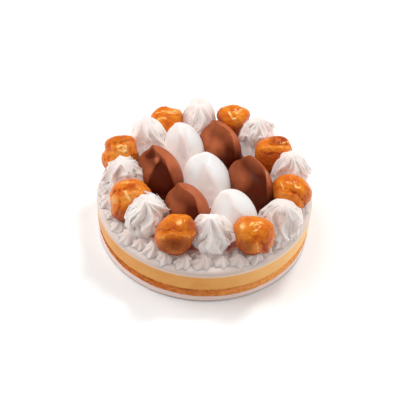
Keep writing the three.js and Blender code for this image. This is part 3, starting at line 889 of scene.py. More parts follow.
def sponge_material(colours, top):
    """Baked crumb: brown with darker pores, a dark crust along its top, and painted light on the right."""
    material, tree, shader = start_material("sponge_crumb", roughness=0.9, specular=0.15)
    paint(tree, shader, colours.sponge, colours.sponge_patch, scale=210)
    # Painted light on the right side, in the pale crumb colour.
    right = mottled(tree, colours.crumb, colours.sponge, scale=260)
    tint_by(material, place_value(tree, "X", low=-40 * MM, high=70 * MM), right)
    near_top = tree.nodes.new("ShaderNodeMath")
    near_top.operation = "MULTIPLY"
    link(tree, place_value(tree, "Z", low=top - 4 * MM, high=top - 0.6 * MM), near_top.inputs[0])
    link(tree, place_value(tree, "X", low=60 * MM, high=0.0), near_top.inputs[1])
    tint_by(material, near_top.outputs["Value"], mottled(tree, colours.crust, colours.sponge, scale=170))
    add_grain(tree, shader, scale=1100, distance=0.5 * MM, strength=0.5)
    return material


def caramel_material(colours):
    """Choux under caramel: amber glaze, burnt or golden by its tone, with painted shade and glints, over a
    dull crust.
    """
    material, tree, shader = start_material("caramel_choux", roughness=0.3, specular=0.05)
    paint(tree, shader, colours.caramel, colours.caramel_deep, scale=110)
    tint_by(material, attribute_value(tree, "tone", high=-1.0), colours.caramel_gold_and_highlight)
    tint_by(material, attribute_value(tree, "tone", *GLINT), colours.caramel_highlight)
    tint_by(material, attribute_value(tree, "tone"), colours.caramel_burnt_and_shade)
    bare = attribute_value(tree, "glaze", low=1.0, high=0.0)
    tint_by(material, bare, mottled(tree, colours.choux, colours.choux_dark, scale=140))
    for label, crust, glaze in (("Roughness", 0.6, 0.25), ("Coat Weight", 0.03, 0.4)):
        span = add_node(tree, "ShaderNodeMapRange", To_Min=glaze, To_Max=crust)
        link(tree, bare, span.inputs["Value"])
        link(tree, span.outputs["Result"], shader.inputs[label])
    shader.inputs["Coat Roughness"].default_value = 0.09
    # The painted glints glow as painted light.
    paint_glow(material, attribute_value(tree, "tone", *GLINT), (0, 0, 0), colours.glint_glow)
    add_grain(tree, shader, scale=330, distance=0.8 * MM, strength=0.4)
    return material


# Layers


def at_level(level):
    """A rule for edges that lie at a level."""
    return lambda a, b: max(abs(a.z - level), abs(b.z - level)) < SAME_LEVEL


def round_layer(name, low, high, bevels, columns, cuts):
    """A full disc: a cylinder with soft rims whose wall is divided finely enough for its relief."""
    deselect()
    bpy.ops.mesh.primitive_cylinder_add(
        vertices=columns, radius=CAKE_RADIUS, depth=high - low, location=(0, 0, (low + high) / 2))
    piece = added(name)
    bpy.ops.object.transform_apply(location=True)
    mesh = piece.data
    if cuts:
        select_edges(mesh, lambda a, b: abs(a.z - b.z) > 0.5 * (high - low))
        with edit_mode("EDGE"):
            bpy.ops.mesh.subdivide(number_cuts=cuts)
    for rim, bevel in zip((low, high), bevels):
        select_edges(mesh, at_level(rim))
        with edit_mode("EDGE"):
            bpy.ops.mesh.bevel(offset=bevel, segments=RIM_SEGMENTS, affect="EDGES")
    select_edges(mesh, at_level(high))
    with edit_mode("EDGE"):
        bpy.ops.mesh.inset(thickness=RIM_BAND)
    return piece


def roughen_wall(piece, depth):
    """Moves each point of the wall in by depth(point)."""
    for point in piece.data.vertices:
        reach = math.hypot(point.co.x, point.co.y)
        if reach > WALL_SHARE * CAKE_RADIUS:
            share = 1 - depth(point.co) / reach
            point.co.x *= share
            point.co.y *= share


def lift_rim(piece, level, reach, lift):
    """Raises the rim at a level by lift(bearing), fading out over a reach above and below it."""
    for point in piece.data.vertices:
        near = max(0.0, 1 - abs(point.co.z - level) / reach)
        point.co.z += near * lift(math.atan2(point.co.y, point.co.x))


def sponge_foot(bearing):
    """How much higher the sponge begins: it is thinner on the left than on the right."""
    away = (math.degrees(bearing) - THIN_BEARING + 180) % 360 - 180
    return THIN_RISE * math.exp(-(away / THIN_SPREAD) ** 2) + FOOT_WAVE * around(bearing, step=7, seed=4)


def crumb_depth(depth):
    """Open pores of two sizes over slow waves."""
    def dent(point):
        pores = max(0.0, wander(point, scale=420, seed=2)) ** 1.5
        pores += 0.6 * max(0.0, wander(point, scale=900, seed=5))
        waves = 0.35 + 0.35 * wander(point, scale=110, seed=9)
        return depth * min(1.0, waves + pores)
    return dent


def soft_depth(depth, seed):
    """Slow waves, longer round the wall than up it."""
    def dent(point):
        return depth * (0.5 + 0.5 * wander((point.x, point.y, 2.5 * point.z), 60, seed))
    return dent


# Drawn as the camera sees it


def view_axes(place):
    """Right, up and towards the camera, as seen at a place."""
    toward = (Vector(CAMERA_PLACE) - place).normalized()
    right = Vector((0, 0, 1)).cross(toward).normalized()
    return right, toward.cross(right), toward


def line_distance(points, right, up):
    """The shortest way from a place on the face to a broken line."""
    best = math.inf
    for (ax, ay), (bx, by) in zip(points, points[1:]):
        dx, dy = bx - ax, by - ay
        share = ((right - ax) * dx + (up - ay) * dy) / (dx * dx + dy * dy)
        share = min(1.0, max(0.0, share))
        best = min(best, math.hypot(right - ax - share * dx, up - ay - share * dy))
    return best


def inside_by(points, right, up):
    """How far inside a convex outline a place lies; below 0 outside it."""
    edges = list(zip(points, points[1:] + points[:1]))
    way = math.copysign(1, sum(ax * by - bx * ay for (ax, ay), (bx, by) in edges))
    return min(
        way * ((bx - ax) * (up - ay) - (by - ay) * (right - ax)) / math.hypot(bx - ax, by - ay)
        for (ax, ay), (bx, by) in edges)


# Piped cream


def ring_cage(name, columns, rows):
    """A closed cage of unit rings: a filled circle drawn up row by row and closed at a point."""
    deselect()
    bpy.ops.mesh.primitive_circle_add(vertices=columns, radius=1.0, fill_type="NGON")
    piece = added(name)
    with edit_mode():
        bpy.ops.mesh.select_all(action="SELECT")
        for _ in range(rows):
            bpy.ops.mesh.extrude_region_move(TRANSFORM_OT_translate={"value": (0, 0, 1)})
        bpy.ops.mesh.merge(type="CENTER")
        bpy.ops.mesh.select_all(action="SELECT")
        bpy.ops.mesh.normals_make_consistent(inside=False)
    return piece


def shape_cage(piece, columns, place):
    """Moves each point of a cage to place(row, column)."""
    for point in piece.data.vertices:
        row = round(point.co.z)
        turn = math.atan2(point.co.y, point.co.x) / (2 * math.pi)
        column = round(turn * columns) % columns
        point.co = place(row, column)


def ruffle(piece, amount, scale, seed):
    """Moves the skin in and out along its normals by seeded noise."""
    mesh = piece.data
    moves = [point.normal * (amount * wander(point.co, scale, seed)) for point in mesh.vertices]
    for point, move in zip(mesh.vertices, moves):
        point.co += move


def peak_foot(spec):
    """Where a peak stands, at the height of the floor."""
    angle = math.radians(spec["bearing"])
    return Vector((math.cos(angle), math.sin(angle), 0)) * spec["ring"] * MM


def peak_place(spec):
    """Gives the place of each row and column of a peak's cage: a plump ring with a twisted star above it."""
    foot = peak_foot(spec)
    tall = spec["tip"] * MM - SEAT
    lean = Vector((*spec["lean"], 0)) * MM
    seed = spec["seed"]
    ribs = spec["ribs"]
    starts = [round(index * PEAK_COLUMNS / len(ribs)) for index in range(len(ribs) + 1)]

    def at_column(column):
        """Bearing, reach and height of the hem at a column, and how far beside a rib it is, 0 to 0.5."""
        index = max(rib for rib in range(len(ribs)) if starts[rib] <= column)
        share = (column - starts[index]) / (starts[index + 1] - starts[index])
        even = smooth(0, 1, share)
        first, second = ribs[index], ribs[(index + 1) % len(ribs)]
        bearing = first[0] + ((second[0] - first[0]) % 360) * share
        reach = first[1] + (second[1] - first[1]) * even
        level = first[2] + (second[2] - first[2]) * even
        return math.radians(bearing), reach * MM, (level * MM - SEAT) / tall, min(share, 1 - share)

    def ridge(beside, near_hem):
        """1 on a rib, falling to 0 in the groove: a thin edge between flat sides, a round lobe at the hem."""
        thin = RIB_SIDE * (1 - 2 * beside) ** RIB_FALL + RIB_EDGE * math.exp(-beside / RIB_WIDTH)
        lobe = (0.5 + 0.5 * math.cos(2 * math.pi * beside)) ** 0.8
        return thin + (lobe - thin) * near_hem

    def depth(turn):
        """How much of the groove is left at a bearing."""
        return 1 - spec["calm"] * (0.5 + 0.5 * math.sin(turn))

    def lift(turn, beside):
        """How far the hem rises in a groove and droops on a rib."""
        crest = ridge(beside, 1.0)
        return HEM_RISE * depth(turn) * (1 - crest) - HEM_DROOP * crest

    def lower(row, turn, beside, hem):
        """The plump ring below the star, drawn in under it and folded: width and height."""
        share = row / (PEAK_LOWER_ROWS - 1)
        width = RING_WIDTH + RING_SWELL * math.sin(math.pi * (0.15 + 0.7 * share))
        fold = 1 - abs(math.sin(3.5 * turn + 2.2 * share + seed + 2.2 * around(turn, 1.5, seed)))
        width *= RING_SLACK + RING_FOLD * fold ** 1.3
        return spec["half"] * MM * width, (hem + lift(turn, beside) - HEM_TUCK) * share

    def upper(row, turn, beside, reach, hem):
        """The star: sharp ribs that broaden to lobes at the hem and meet at the tip."""
        climb = 0.5 * math.pi * (row - PEAK_LOWER_ROWS) / PEAK_UPPER_ROWS
        near_hem = math.exp(-(math.sin(climb) / HEM_SPAN) ** 2)
        valley = 1 - ridge(beside, near_hem)
        groove = spec["groove"] * depth(turn) * valley * (1 - 0.3 * math.sin(climb) ** 4)
        width = math.cos(climb) ** spec["dome"] * (1 - groove)
        rise = hem + (1 - hem) * math.sin(climb)
        return reach * width, rise + lift(turn, beside) * near_hem

    def place(row, column):
        if row >= PEAK_LOWER_ROWS + PEAK_UPPER_ROWS:
            return foot + lean + Vector((0, 0, SEAT + tall))
        turn, reach, hem, beside = at_column(column)
        if row < PEAK_LOWER_ROWS:
            width, rise = lower(row, turn, beside, hem)
        else:
            width, rise = upper(row, turn, beside, reach, hem)
        above = max(0.0, rise - hem) / (1 - hem)
        turn += math.radians(spec["twist"] * above + PEAK_SWAY * math.sin(5 * above + seed + 2 * turn))
        outward = Vector((math.cos(turn), math.sin(turn), 0)) * width
        return foot + lean * rise * rise + outward + Vector((0, 0, SEAT + tall * rise))
    return place


def fold_skin(piece, spec):
    """Raises the drawn folds of a peak towards the camera, sinks its grooves and paints shade into them and
    over the peak.
    """
    heart = peak_foot(spec)
    heart.z = 0.5 * (SEAT + spec["tip"] * MM)
    right, up, toward = view_axes(heart)
    shades = []
    for point in piece.data.vertices:
        away = (point.co - heart) / MM
        facing = smooth(0, FACING, away.dot(toward))
        rise, dark = 0.0, spec["tone"]
        for height, width, line in spec["folds"] if facing else []:
            far = line_distance(line, away.dot(right), away.dot(up))
            weight = facing * math.exp(-(far / width) ** FOLD_EDGE)
            rise += weight * (height if height > 0 else GROOVE_SINK * height)
            dark += weight * max(0.0, -GROOVE_DARK * height)
        point.co += toward * (rise * MM)
        shades.append(min(1.0, dark))
    note(piece, "shade", shades)


def paint_peak_glow(piece, spec):
    """Notes how much painted glow a peak takes: most near its foot and on its front."""
    deep = []
    for point in piece.data.vertices:
        low = spec["lit"] * smooth(LIT_NONE, LIT_FULL, point.co.z)
        deep.append(min(1.0, low + spec["front"] * smooth(*LIT_FRONT, point.normal.y)))
    note(piece, "deep", deep)


def star_place(size, height):
    """A low dab of cream with ribs that run out from a soft tip to a flared foot."""
    def place(row, column):
        climb = 0.5 * math.pi * row / STAR_ROWS
        share = STAR_RIBS * column / STAR_COLUMNS % 1
        crest = (1 - 2 * min(share, 1 - share)) ** RIB_FALL
        groove = STAR_GROOVE * (1 - crest) * (0.5 + 0.5 * math.sin(2 * climb))
        width = size * math.cos(climb) ** 1.1 * (1 - groove)
        turn = 2 * math.pi * column / STAR_COLUMNS + STAR_TWIST * math.sin(climb)
        return Vector((math.cos(turn) * width, math.sin(turn) * width, height * math.sin(climb) ** 1.05))
    return place


def piped_star(size, height):
    star = ring_cage("star", STAR_COLUMNS, STAR_ROWS)
    shape_cage(star, STAR_COLUMNS, star_place(size, height))
    return star


# Dollops


def crest_rise(offset, ridge, hollow):
    """How far the skin stands out beside the crest: a sharp ridge with a hollow on its left."""
    if offset <= 0:
        return ridge * math.exp(offset / CREST_RIGHT)
    deep = offset / HOLLOW_WIDTH
    return ridge * math.exp(-offset / CREST_LEFT) - hollow * deep * math.exp(1 - deep)


def dollop_skin(spec, ridge, dip):
    """Gives the skin of a dollop for the points of a unit ball whose poles lie along the dollop."""
    bearing = math.radians(DOLLOP_BEARING)
    along = Vector((math.cos(bearing), math.sin(bearing), 0))
    across = Vector((-along.y, along.x, 0))
    middle = Vector((spec["x"] * MM, spec["y"] * MM, 0))
    tall = spec["top"] * MM - SEAT
    back, half_way, front = (math.radians(angle) for angle in spec["crest"])
    heart = middle + Vector((0, 0, SEAT + DOLLOP_HEART * tall))
    right, up, toward = view_axes(heart)

    def facet(spot):
        """Depth and painted shade of the facets at a point of the skin; a shade below 0 is painted light."""
        away = (spot - heart) / MM
        facing = smooth(0, FACING, away.dot(toward))
        depth, tint = 0.0, 0.0
        for deep, shade, soft, points in spec["facets"]:
            weight = facing * smooth(-soft, soft, inside_by(points, away.dot(right), away.dot(up)))
            depth += deep * MM * weight
            tint += shade * weight
        return depth, tint

    def crest_at(length):
        """Angle of the crest round the cross section, from the back end at -1 to the front end at 1."""
        share = 0.5 + 0.5 * length
        bend = back * (1 - share) ** 2 + 2 * half_way * share * (1 - share) + front * share * share
        return bend + CREST_SWAY * math.sin(5 * length + 0.2 * spec["x"])

    def shade_at(length, end, offset, low):
        """How much painted shade the cream takes: on its left side, low down, at its front end and in the
        hollow.
        """
        late = spec["late"]
        if offset > 0:
            hollow = math.exp(-((offset - 0.4) / 0.34) ** 2) * end
            front_end = smooth(0.05 + late, 0.75 + late, length)
        else:
            hollow = 0.0
            front_end = 0.8 * smooth(0.4, 1.0, length)
        left = smooth(-0.05, 0.1, offset) * (spec["tone"] + spec["back"] * smooth(0.0, 0.5, -length))
        return left + LOW_DARK * low + FRONT_DARK * front_end + HOLLOW_DARK * dip * hollow

    def place(ball):
        """The point of the skin and how much painted shade it takes, for a point of the ball."""
        length = max(-1.0, min(1.0, ball.z))
        end = math.sqrt(max(0.0, 1 - length * length))
        turn = math.atan2(ball.y, ball.x) / math.pi
        offset = math.copysign(math.pi * abs(turn) ** 1.5, turn)
        angle = crest_at(length) + offset
        grow = 1 + crest_rise(offset, ridge, dip) * math.sqrt(end)
        upright = math.sin(angle)
        reach = math.cos(angle)
        wide = end ** EGG_END * (1 - DOLLOP_TAPER * length)
        stretch = 1.0
        if upright < 0:
            reach = math.copysign(abs(reach) ** FOOT_SQUARE, reach)
            wide = end ** (EGG_END + FOOT_BLUNT * upright) * (1 - DOLLOP_TAPER * length)
            wide *= 1 + FOOT_WIDE * upright * upright
            stretch = 1 + FOOT_LONG * upright * upright
        side = 0.5 * spec["width"] * MM * wide * reach * grow
        level = EGG_LEVEL - DOLLOP_TAPER * length
        rise = tall * (level + EGG_RISE * end ** 0.8 * (1 - 0.1 * length) * upright * grow)
        spot = middle + along * (0.5 * spec["length"] * MM * length * stretch) + across * side
        spot.z = max(SEAT + rise, SEAT)
        low = 1 - smooth(0.1, 0.7, rise / tall)
        depth, tint = facet(spot)
        return spot - toward * depth, min(1.0, shade_at(length, end, offset, low) + tint)
    return place


def piped_dollop(name, spec, ridge, dip):
    """A ball drawn to an egg with a winding crest, its painted shade and how far it faces sideways, for its
    painted glow, noted on it.
    """
    piece = unit_ball(name, DOLLOP_SEGMENTS, DOLLOP_RINGS)
    shades, = draw_out(piece, dollop_skin(spec, ridge, dip))
    note(piece, "shade", shades)
    activate(piece)
    with edit_mode():
        bpy.ops.mesh.select_all(action="SELECT")
        bpy.ops.mesh.normals_make_consistent(inside=False)
    # How far each point faces sideways and to the left, for the painted glow.
    sides = [
        (1 - smooth(-0.1, 0.75, point.normal.z)) * (0.5 + 0.5 * smooth(0.5, -0.5, point.normal.x))
        + LEFT_GLOW * smooth(-0.15, -0.85, point.normal.x)
        for point in piece.data.vertices]
    note(piece, "side", sides)
    return piece


# Choux puffs


def outline_share(outline, angle):
    """The outline at an angle, curved evenly through its values."""
    place = (angle + math.pi) / (2 * math.pi) * len(outline)
    first = math.floor(place)
    t = place - first
    a, b, c, d = (outline[(first + step) % len(outline)] for step in (-1, 0, 1, 2))
    slope = c - a
    bow = 2 * a - 5 * b + 4 * c - d
    twist = 3 * b - a - 3 * c + d
    return 0.5 * (2 * b + slope * t + bow * t * t + twist * t ** 3)


def puff_skin(spec, middle, half, drop):
    """Gives the skin of a puff for the points of a unit ball."""
    seed = spec["seed"]
    right, up, toward = view_axes(middle)

    def hem_at(bearing):
        """Where the glaze ends at a bearing, as an angle from the top."""
        short = HEM_SHORT_SHARE * around(bearing, HEM_SHORT, seed + HEM_SHORT_SEED)
        wave = spec["wave"] * (around(bearing, HEM_LONG, seed) + short)
        return math.radians(spec["hem"] + HEM_SWING * wave)

    def lumps(ball):
        """Uneven rise and fine creases as a share of the radius."""
        out = 0.0
        for amount, scale, axis in PUFF_LUMPS:
            out += amount * noise.noise(ball * scale + Vector(axis) * seed)
        for amount, scale, axis, sharp in PUFF_CREASES:
            out -= amount * (1 - abs(noise.noise(ball * scale + Vector(axis) * seed))) ** sharp
        return out

    def features(across, above):
        """Height, tone and bare share of the lines and marks at a place on the face."""
        height, tone, bare = 0.0, 0.0, 0.0
        for out, wide, shade, points in spec["lines"]:
            weight = math.exp(-(line_distance(points, across, above) / (LINE_SPREAD * wide)) ** 2)
            along = noise.noise(Vector((LINE_WAVES * across, LINE_WAVES * above, seed)))
            weight *= max(0.0, LINE_STRENGTH + LINE_SWING * along)
            height += out * weight
            tone += LINE_TONE * shade * weight
        for mid_right, mid_up, wide, high, out, shade, naked in spec["marks"]:
            blunt = 4 if shade > -1 else 2
            beside = abs((across - mid_right) / wide) ** blunt
            beyond = abs((above - mid_up) / high) ** blunt
            weight = math.exp(-beside - beyond)
            height += out * weight
            tone += shade * weight
            bare = max(bare, naked * weight)
        return height, tone, bare

    def place(ball):
        """The point of the skin, its cover of glaze and its tone, for a point of a unit ball."""
        polar = math.acos(max(-1.0, min(1.0, ball.z)))
        hem = hem_at(math.atan2(ball.y, ball.x))
        cover = 1 - smooth(hem - HEM_IN, hem + HEM_OUT, polar)
        bead = math.exp(-((polar - hem + BEAD_IN) / BEAD_WIDTH) ** 2)
        across, above = ball.dot(right), ball.dot(up)
        rim = across * across + above * above
        size = BARE_SIZE + rim * (outline_share(spec["outline"], math.atan2(above, across)) - 1)
        size += GLAZE_STEP * cover + GLAZE_STEP * bead + lumps(ball)
        tone = 0.0
        front = smooth(*FACE, ball.dot(toward))
        if front > 0:
            ripple = noise.noise_vector(ball * RIPPLE_LONG_WAVES + Vector((seed, 3, 0))) * RIPPLE_LONG
            ripple += noise.noise_vector(ball * RIPPLE_SHORT_WAVES + Vector((3, seed, 0))) * RIPPLE_SHORT
            height, tone, bare = features(across + ripple.x, above + ripple.y)
            size += height * front
            # Painted shade darkens the lower edge of the face.
            tone = front * (tone + UNDER_SHADE * smooth(0.3, 1.0, rim) * max(0.0, -above))
            cover *= 1 - bare * front
        spot = ball * half * size
        if spot.z < 0:
            spot.z *= drop / half
        spot += middle
        spot.z = max(spot.z, SEAT)
        return spot, cover, tone
    return place


def choux_puff(name, spec, node):
    """A ball, drawn to its outline, with wrinkles, a cap of glaze over bare pastry, and painted shade and
    glints.
    """
    low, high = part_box(node)
    middle = (low + high) / 2
    half = 0.5 * (high.x - low.x)
    rise = 0.5 * (high.z - low.z)
    piece = unit_ball(name, PUFF_SEGMENTS, PUFF_RINGS)
    covers, tones = draw_out(piece, puff_skin(spec, middle, half, rise))
    note(piece, "glaze", covers)
    note(piece, "tone", tones)
    return piece


# Settings


def colour_setting(name, description, red, green, blue):
    """A colour whose default is a screen colour of 0 to 255."""
    return FloatVectorProperty(
        name=name, description=description, subtype="COLOR", default=linear(red, green, blue))


def length_setting(name, description, length):
    """A length whose default is in millimetres."""
    return FloatProperty(name=name, description=description, unit="LENGTH", default=length * MM)


def share_setting(name, description, share):
    """A share between 0 and 1."""
    return FloatProperty(name=name, description=description, subtype="FACTOR", min=0, max=1, default=share)


class CakeColours(PropertyGroup):
    """Colours of the creams, the layers and the glaze."""
    cream: colour_setting("Cream", "Whipped cream of the peaks", 240, 236, 234)
    cream_patch: colour_setting("Cream patches", "Warmer patches in the whipped cream", 236, 229, 224)
    # Painted shade in the grooves of the peaks and over whole peaks.
    cream_shade: colour_setting("Cream shade", "Cream in the grooves of the peaks", 192, 170, 160)
    # Painted glow over the whole of the peaks, strongest at their feet and fronts.
    cream_glow: colour_setting("Cream glow", "Light through the tops of the peaks", 52, 50, 49)
    low_glow: colour_setting("Low glow", "Light through the feet of the peaks", 154, 148, 145)
    top: colour_setting("Top cream", "Cream of the top and its small stars", 225, 213, 208)
    top_patch: colour_setting("Top patches", "Warmer patches in the cream of the top", 221, 207, 201)
    # Painted shade where the top cream turns down to the custard.
    top_wall_shade: colour_setting("Top wall", "Cream of the top where it turns down to the custard", 208, 189, 179)
    # Painted shade between the toppings, warmed by their light, and its painted glow.
    gap_shade: colour_setting("Stain", "Cream browned by what has run between the toppings", 170, 104, 86)
    gap_glow: colour_setting("Stain glow", "Warm light that the toppings throw into the gaps", 64, 30, 24)
    vanilla: colour_setting("Vanilla", "Vanilla cream of the dollops", 217, 219, 219)
    vanilla_patch: colour_setting("Vanilla patches", "Warmer patches in the vanilla cream", 215, 215, 214)
    # Painted shade of the vanilla dollops in their hollows and at their foot.
    vanilla_shade: colour_setting("Warm vanilla", "Vanilla cream in hollows and at the foot", 214, 203, 198)
    # Painted glow of the vanilla dollops, more on their sides.
    vanilla_glow: colour_setting("Vanilla glow", "Light through the tops of the vanilla dollops", 89, 87, 86)
    side_glow: colour_setting("Side glow", "Light through the sides of the vanilla dollops", 172, 160, 155)
    chocolate: colour_setting("Chocolate", "Chocolate cream of the dollops", 184, 100, 60)
    chocolate_patch: colour_setting("Chocolate patches", "Darker patches in the chocolate cream", 152, 78, 47)
    # Painted light on the lit facets and painted shade in the hollows of the chocolate dollops.
    chocolate_lit: colour_setting("Pale chocolate", "Chocolate cream on its palest facets", 226, 150, 120)
    chocolate_shade: colour_setting("Dark chocolate", "Chocolate cream in hollows and at the foot", 84, 28, 8)
    custard: colour_setting("Custard", "The thick custard layer", 229, 163, 80)
    custard_patch: colour_setting("Custard patches", "Darker clouds in the custard", 222, 150, 66)
    # Painted light on the right of the custard.
    custard_lit: colour_setting("Pale custard", "Custard on the right", 246, 196, 122)
    sponge: colour_setting("Sponge", "The browned crumb layer", 222, 130, 58)
    sponge_patch: colour_setting("Sponge pores", "Darker pores of the crumb", 174, 80, 28)
    # Painted light on the right of the sponge.
    crumb: colour_setting("Pale crumb", "Sponge on the right", 250, 176, 100)
    crust: colour_setting("Sponge crust", "Dark crust along the top of the sponge", 150, 62, 20)
    base: colour_setting("Base", "The lowest pale layer", 240, 217, 209)
    # Painted contact shadow along the lowest edge of the base.
    base_foot_shadow: colour_setting("Base foot", "The lowest edge of the pale layer", 150, 126, 116)
    caramel: colour_setting("Caramel", "Glaze on the puffs", 232, 141, 42)
    caramel_deep: colour_setting("Deep caramel", "Thicker, darker glaze", 212, 96, 28)
    # The golden tone is pale glaze and painted highlights; the glints are painted highlights that glow.
    caramel_gold_and_highlight: colour_setting("Golden caramel", "Thin, pale glaze on ridges", 248, 190, 112)
    caramel_highlight: colour_setting("Caramel glints", "Brightest edges of the set glaze", 255, 214, 150)
    glint_glow: colour_setting("Glint glow", "Light caught in the glints", 80, 60, 34)
    # Burnt glaze in patches, and painted shade in folds and at the lower edge.
    caramel_burnt_and_shade: colour_setting("Burnt caramel", "Dark glaze in folds and patches", 160, 58, 22)
    choux: colour_setting("Choux", "Browned pastry below the glaze", 156, 82, 38)
    choux_dark: colour_setting("Dark choux", "Darker patches of the pastry", 128, 60, 28)


class CakeSizes(PropertyGroup):
    """Sizes of the fine shapes that the frame leaves out."""
    rim: length_setting("Rim", "Rounding of the top rim of the base", 0.7)
    cream_rim: length_setting("Cream rim", "Rounding of the rim of the top cream", 4.2)
    crumb: length_setting("Crumb", "Depth of the pores in the sponge", 1.1)
    star_count: IntProperty(
        name="Stars", description="Small stars in each of the two rows along the rim", default=38, min=3)
    star_ring: length_setting("Star ring", "Distance of the outer stars from the axis", 97.2)
    inner_ring: length_setting("Inner ring", "Distance of the inner stars from the axis", 86.0)
    star_radius: length_setting("Star radius", "Half width of a star", 11.2)
    star_height: length_setting("Star height", "Height of a star", 8.2)
    crest: share_setting("Crest", "How far the crest of a chocolate dollop stands out", 0.2)
    hollow: share_setting("Hollow", "How deep the hollow beside the crest is", 0.17)
    vanilla_crest: share_setting(
        "Vanilla crest", "Crest and hollow of a vanilla dollop against a chocolate one", 0.42)


class CakeSettings(PropertyGroup):
    colours: PointerProperty(type=CakeColours)
    sizes: PointerProperty(type=CakeSizes)


# Operators


class CAKE_OT_layers(Operator):
    """Makes the base, the sponge and the custard"""
    bl_idname = "cake.layers"
    bl_label = "Layers"

    def execute(self, context):
        cake = context.scene.cake
        self.base(cake.sizes, cake.colours)
        self.sponge(cake.sizes, cake.colours)
        self.custard(cake.colours)
        return {"FINISHED"}

    def base(self, sizes, colours):
        """The lowest layer, raised where the sponge is thin."""
        low, high = (end.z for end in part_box("base"))
        base = round_layer("cake_base", low, high + LAYER_LAP, (BASE_RIM, sizes.rim), columns=360, cuts=8)
        roughen_wall(base, soft_depth(depth=0.35 * MM, seed=3))
        lift_rim(base, high, reach=6 * MM, lift=sponge_foot)
        pale = whipped_material("base_cream", colours.base, colours.base, roughness=0.55)
        # Painted contact shadow along the foot of the base.
        tint_below(pale, high=2.6 * MM, low=0.2 * MM, colour=colours.base_foot_shadow)
        dress(base, "base", "base", pale)

    def sponge(self, sizes, colours):
        """The crumb layer, with pores in its wall."""
        low, high = (end.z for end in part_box("sponge"))
        sponge = round_layer(
            "cake_sponge", low - LAYER_LAP, high + LAYER_LAP, (CUT_RIM, CUT_RIM), columns=1200, cuts=16)
        roughen_wall(sponge, crumb_depth(sizes.crumb))
        lift_rim(sponge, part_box("base")[1].z, reach=9 * MM, lift=sponge_foot)
        dress(sponge, "sponge", "sponge", sponge_material(colours, high))

    def custard(self, colours):
        """The thick layer, nearly smooth."""
        low, high = (end.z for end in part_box("custard"))
        custard = round_layer(
            "cake_custard", low - LAYER_LAP, high + LAYER_LAP, (CUT_RIM, CUT_RIM), columns=480, cuts=14)
        roughen_wall(custard, soft_depth(depth=0.4 * MM, seed=6))
        dress(custard, "custard", "custard", custard_material(colours, high))


class CAKE_OT_cream_top(Operator):
    """Makes the top cream with its rim of small piped stars"""
    bl_idname = "cake.cream_top"
    bl_label = "Cream and stars"

    def execute(self, context):
        sizes = context.scene.cake.sizes
        colours = context.scene.cake.colours
        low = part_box("cream_top")[0].z - LAYER_LAP
        cream = round_layer(
            "cake_cream_top", low, CREAM_LEVEL, (CREAM_FOOT_RIM, sizes.cream_rim), columns=360, cuts=0)
        roughen_wall(cream, soft_depth(depth=0.4 * MM, seed=12))
        pattern = piped_star(sizes.star_radius, sizes.star_height)
        stars = []
        for row, (ring, grow) in enumerate(((sizes.star_ring, 1.0), (sizes.inner_ring, INNER_SIZE))):
            for index in range(sizes.star_count):
                star = own_copy(pattern, f"star_{row}_{index + 1}")
                self.set_star(star, index + 0.5 * row, ring, grow, 2 * math.pi / sizes.star_count)
                stars.append(star)
        remove(pattern)
        activate(cream)
        for star in stars:
            star.select_set(True)
        bpy.ops.object.join()
        whipped = whipped_material("whipped_top", colours.top, colours.top_patch, roughness=0.5)
        # Painted shade and glow between the toppings.
        shade_gaps(whipped, colours.gap_shade, colours.gap_glow)
        # Painted shade down the wall of the top cream.
        tint_below(whipped, CREAM_LEVEL - WALL_TURN, CREAM_LEVEL - WALL_DOWN, colours.top_wall_shade)
        dress(cream, "cream_top", "cream", whipped)
        return {"FINISHED"}

    def set_star(self, star, index, ring, grow, step):
        """Turns, sizes and ruffles one star and sets it on the top."""
        seed = 2 * index + 1
        bearing = step * (index + STAR_SWAY * math.sin(2.7 * seed)) + STAR_START
        ring += STAR_STRAY * math.sin(2.3 * seed)
        grow *= 1 + STAR_GROW * math.sin(5.1 * seed)
        tall = grow * (1 + STAR_STRETCH * math.sin(3.7 * seed))
        turned = Matrix.Rotation(1.3 * seed, 4, "Z") @ Matrix.Diagonal((grow, grow, tall, 1))
        lean = STAR_LEAN * math.sin(4.3 * seed)
        leant = Matrix.Rotation(lean, 4, "X") @ Matrix.Rotation(STAR_LEAN * math.cos(seed), 4, "Y")
        spot = (ring * math.cos(bearing), ring * math.sin(bearing), CREAM_LEVEL - STAR_SINK)
        star.data.transform(Matrix.Translation(spot) @ leant @ turned)
        for amount, scale in STAR_RUFFLES:
            ruffle(star, amount, scale, seed)


class CAKE_OT_puffs(Operator):
    """Makes the choux puffs under their caramel glaze"""
    bl_idname = "cake.puffs"
    bl_label = "Choux puffs"

    def execute(self, context):
        caramel = caramel_material(context.scene.cake.colours)
        noise.seed_set(RIPPLE_SEED)
        for node, spec in PUFFS.items():
            piece = choux_puff(f"glazed_{node}", spec, node)
            dress(piece, node, "choux", caramel)
        return {"FINISHED"}


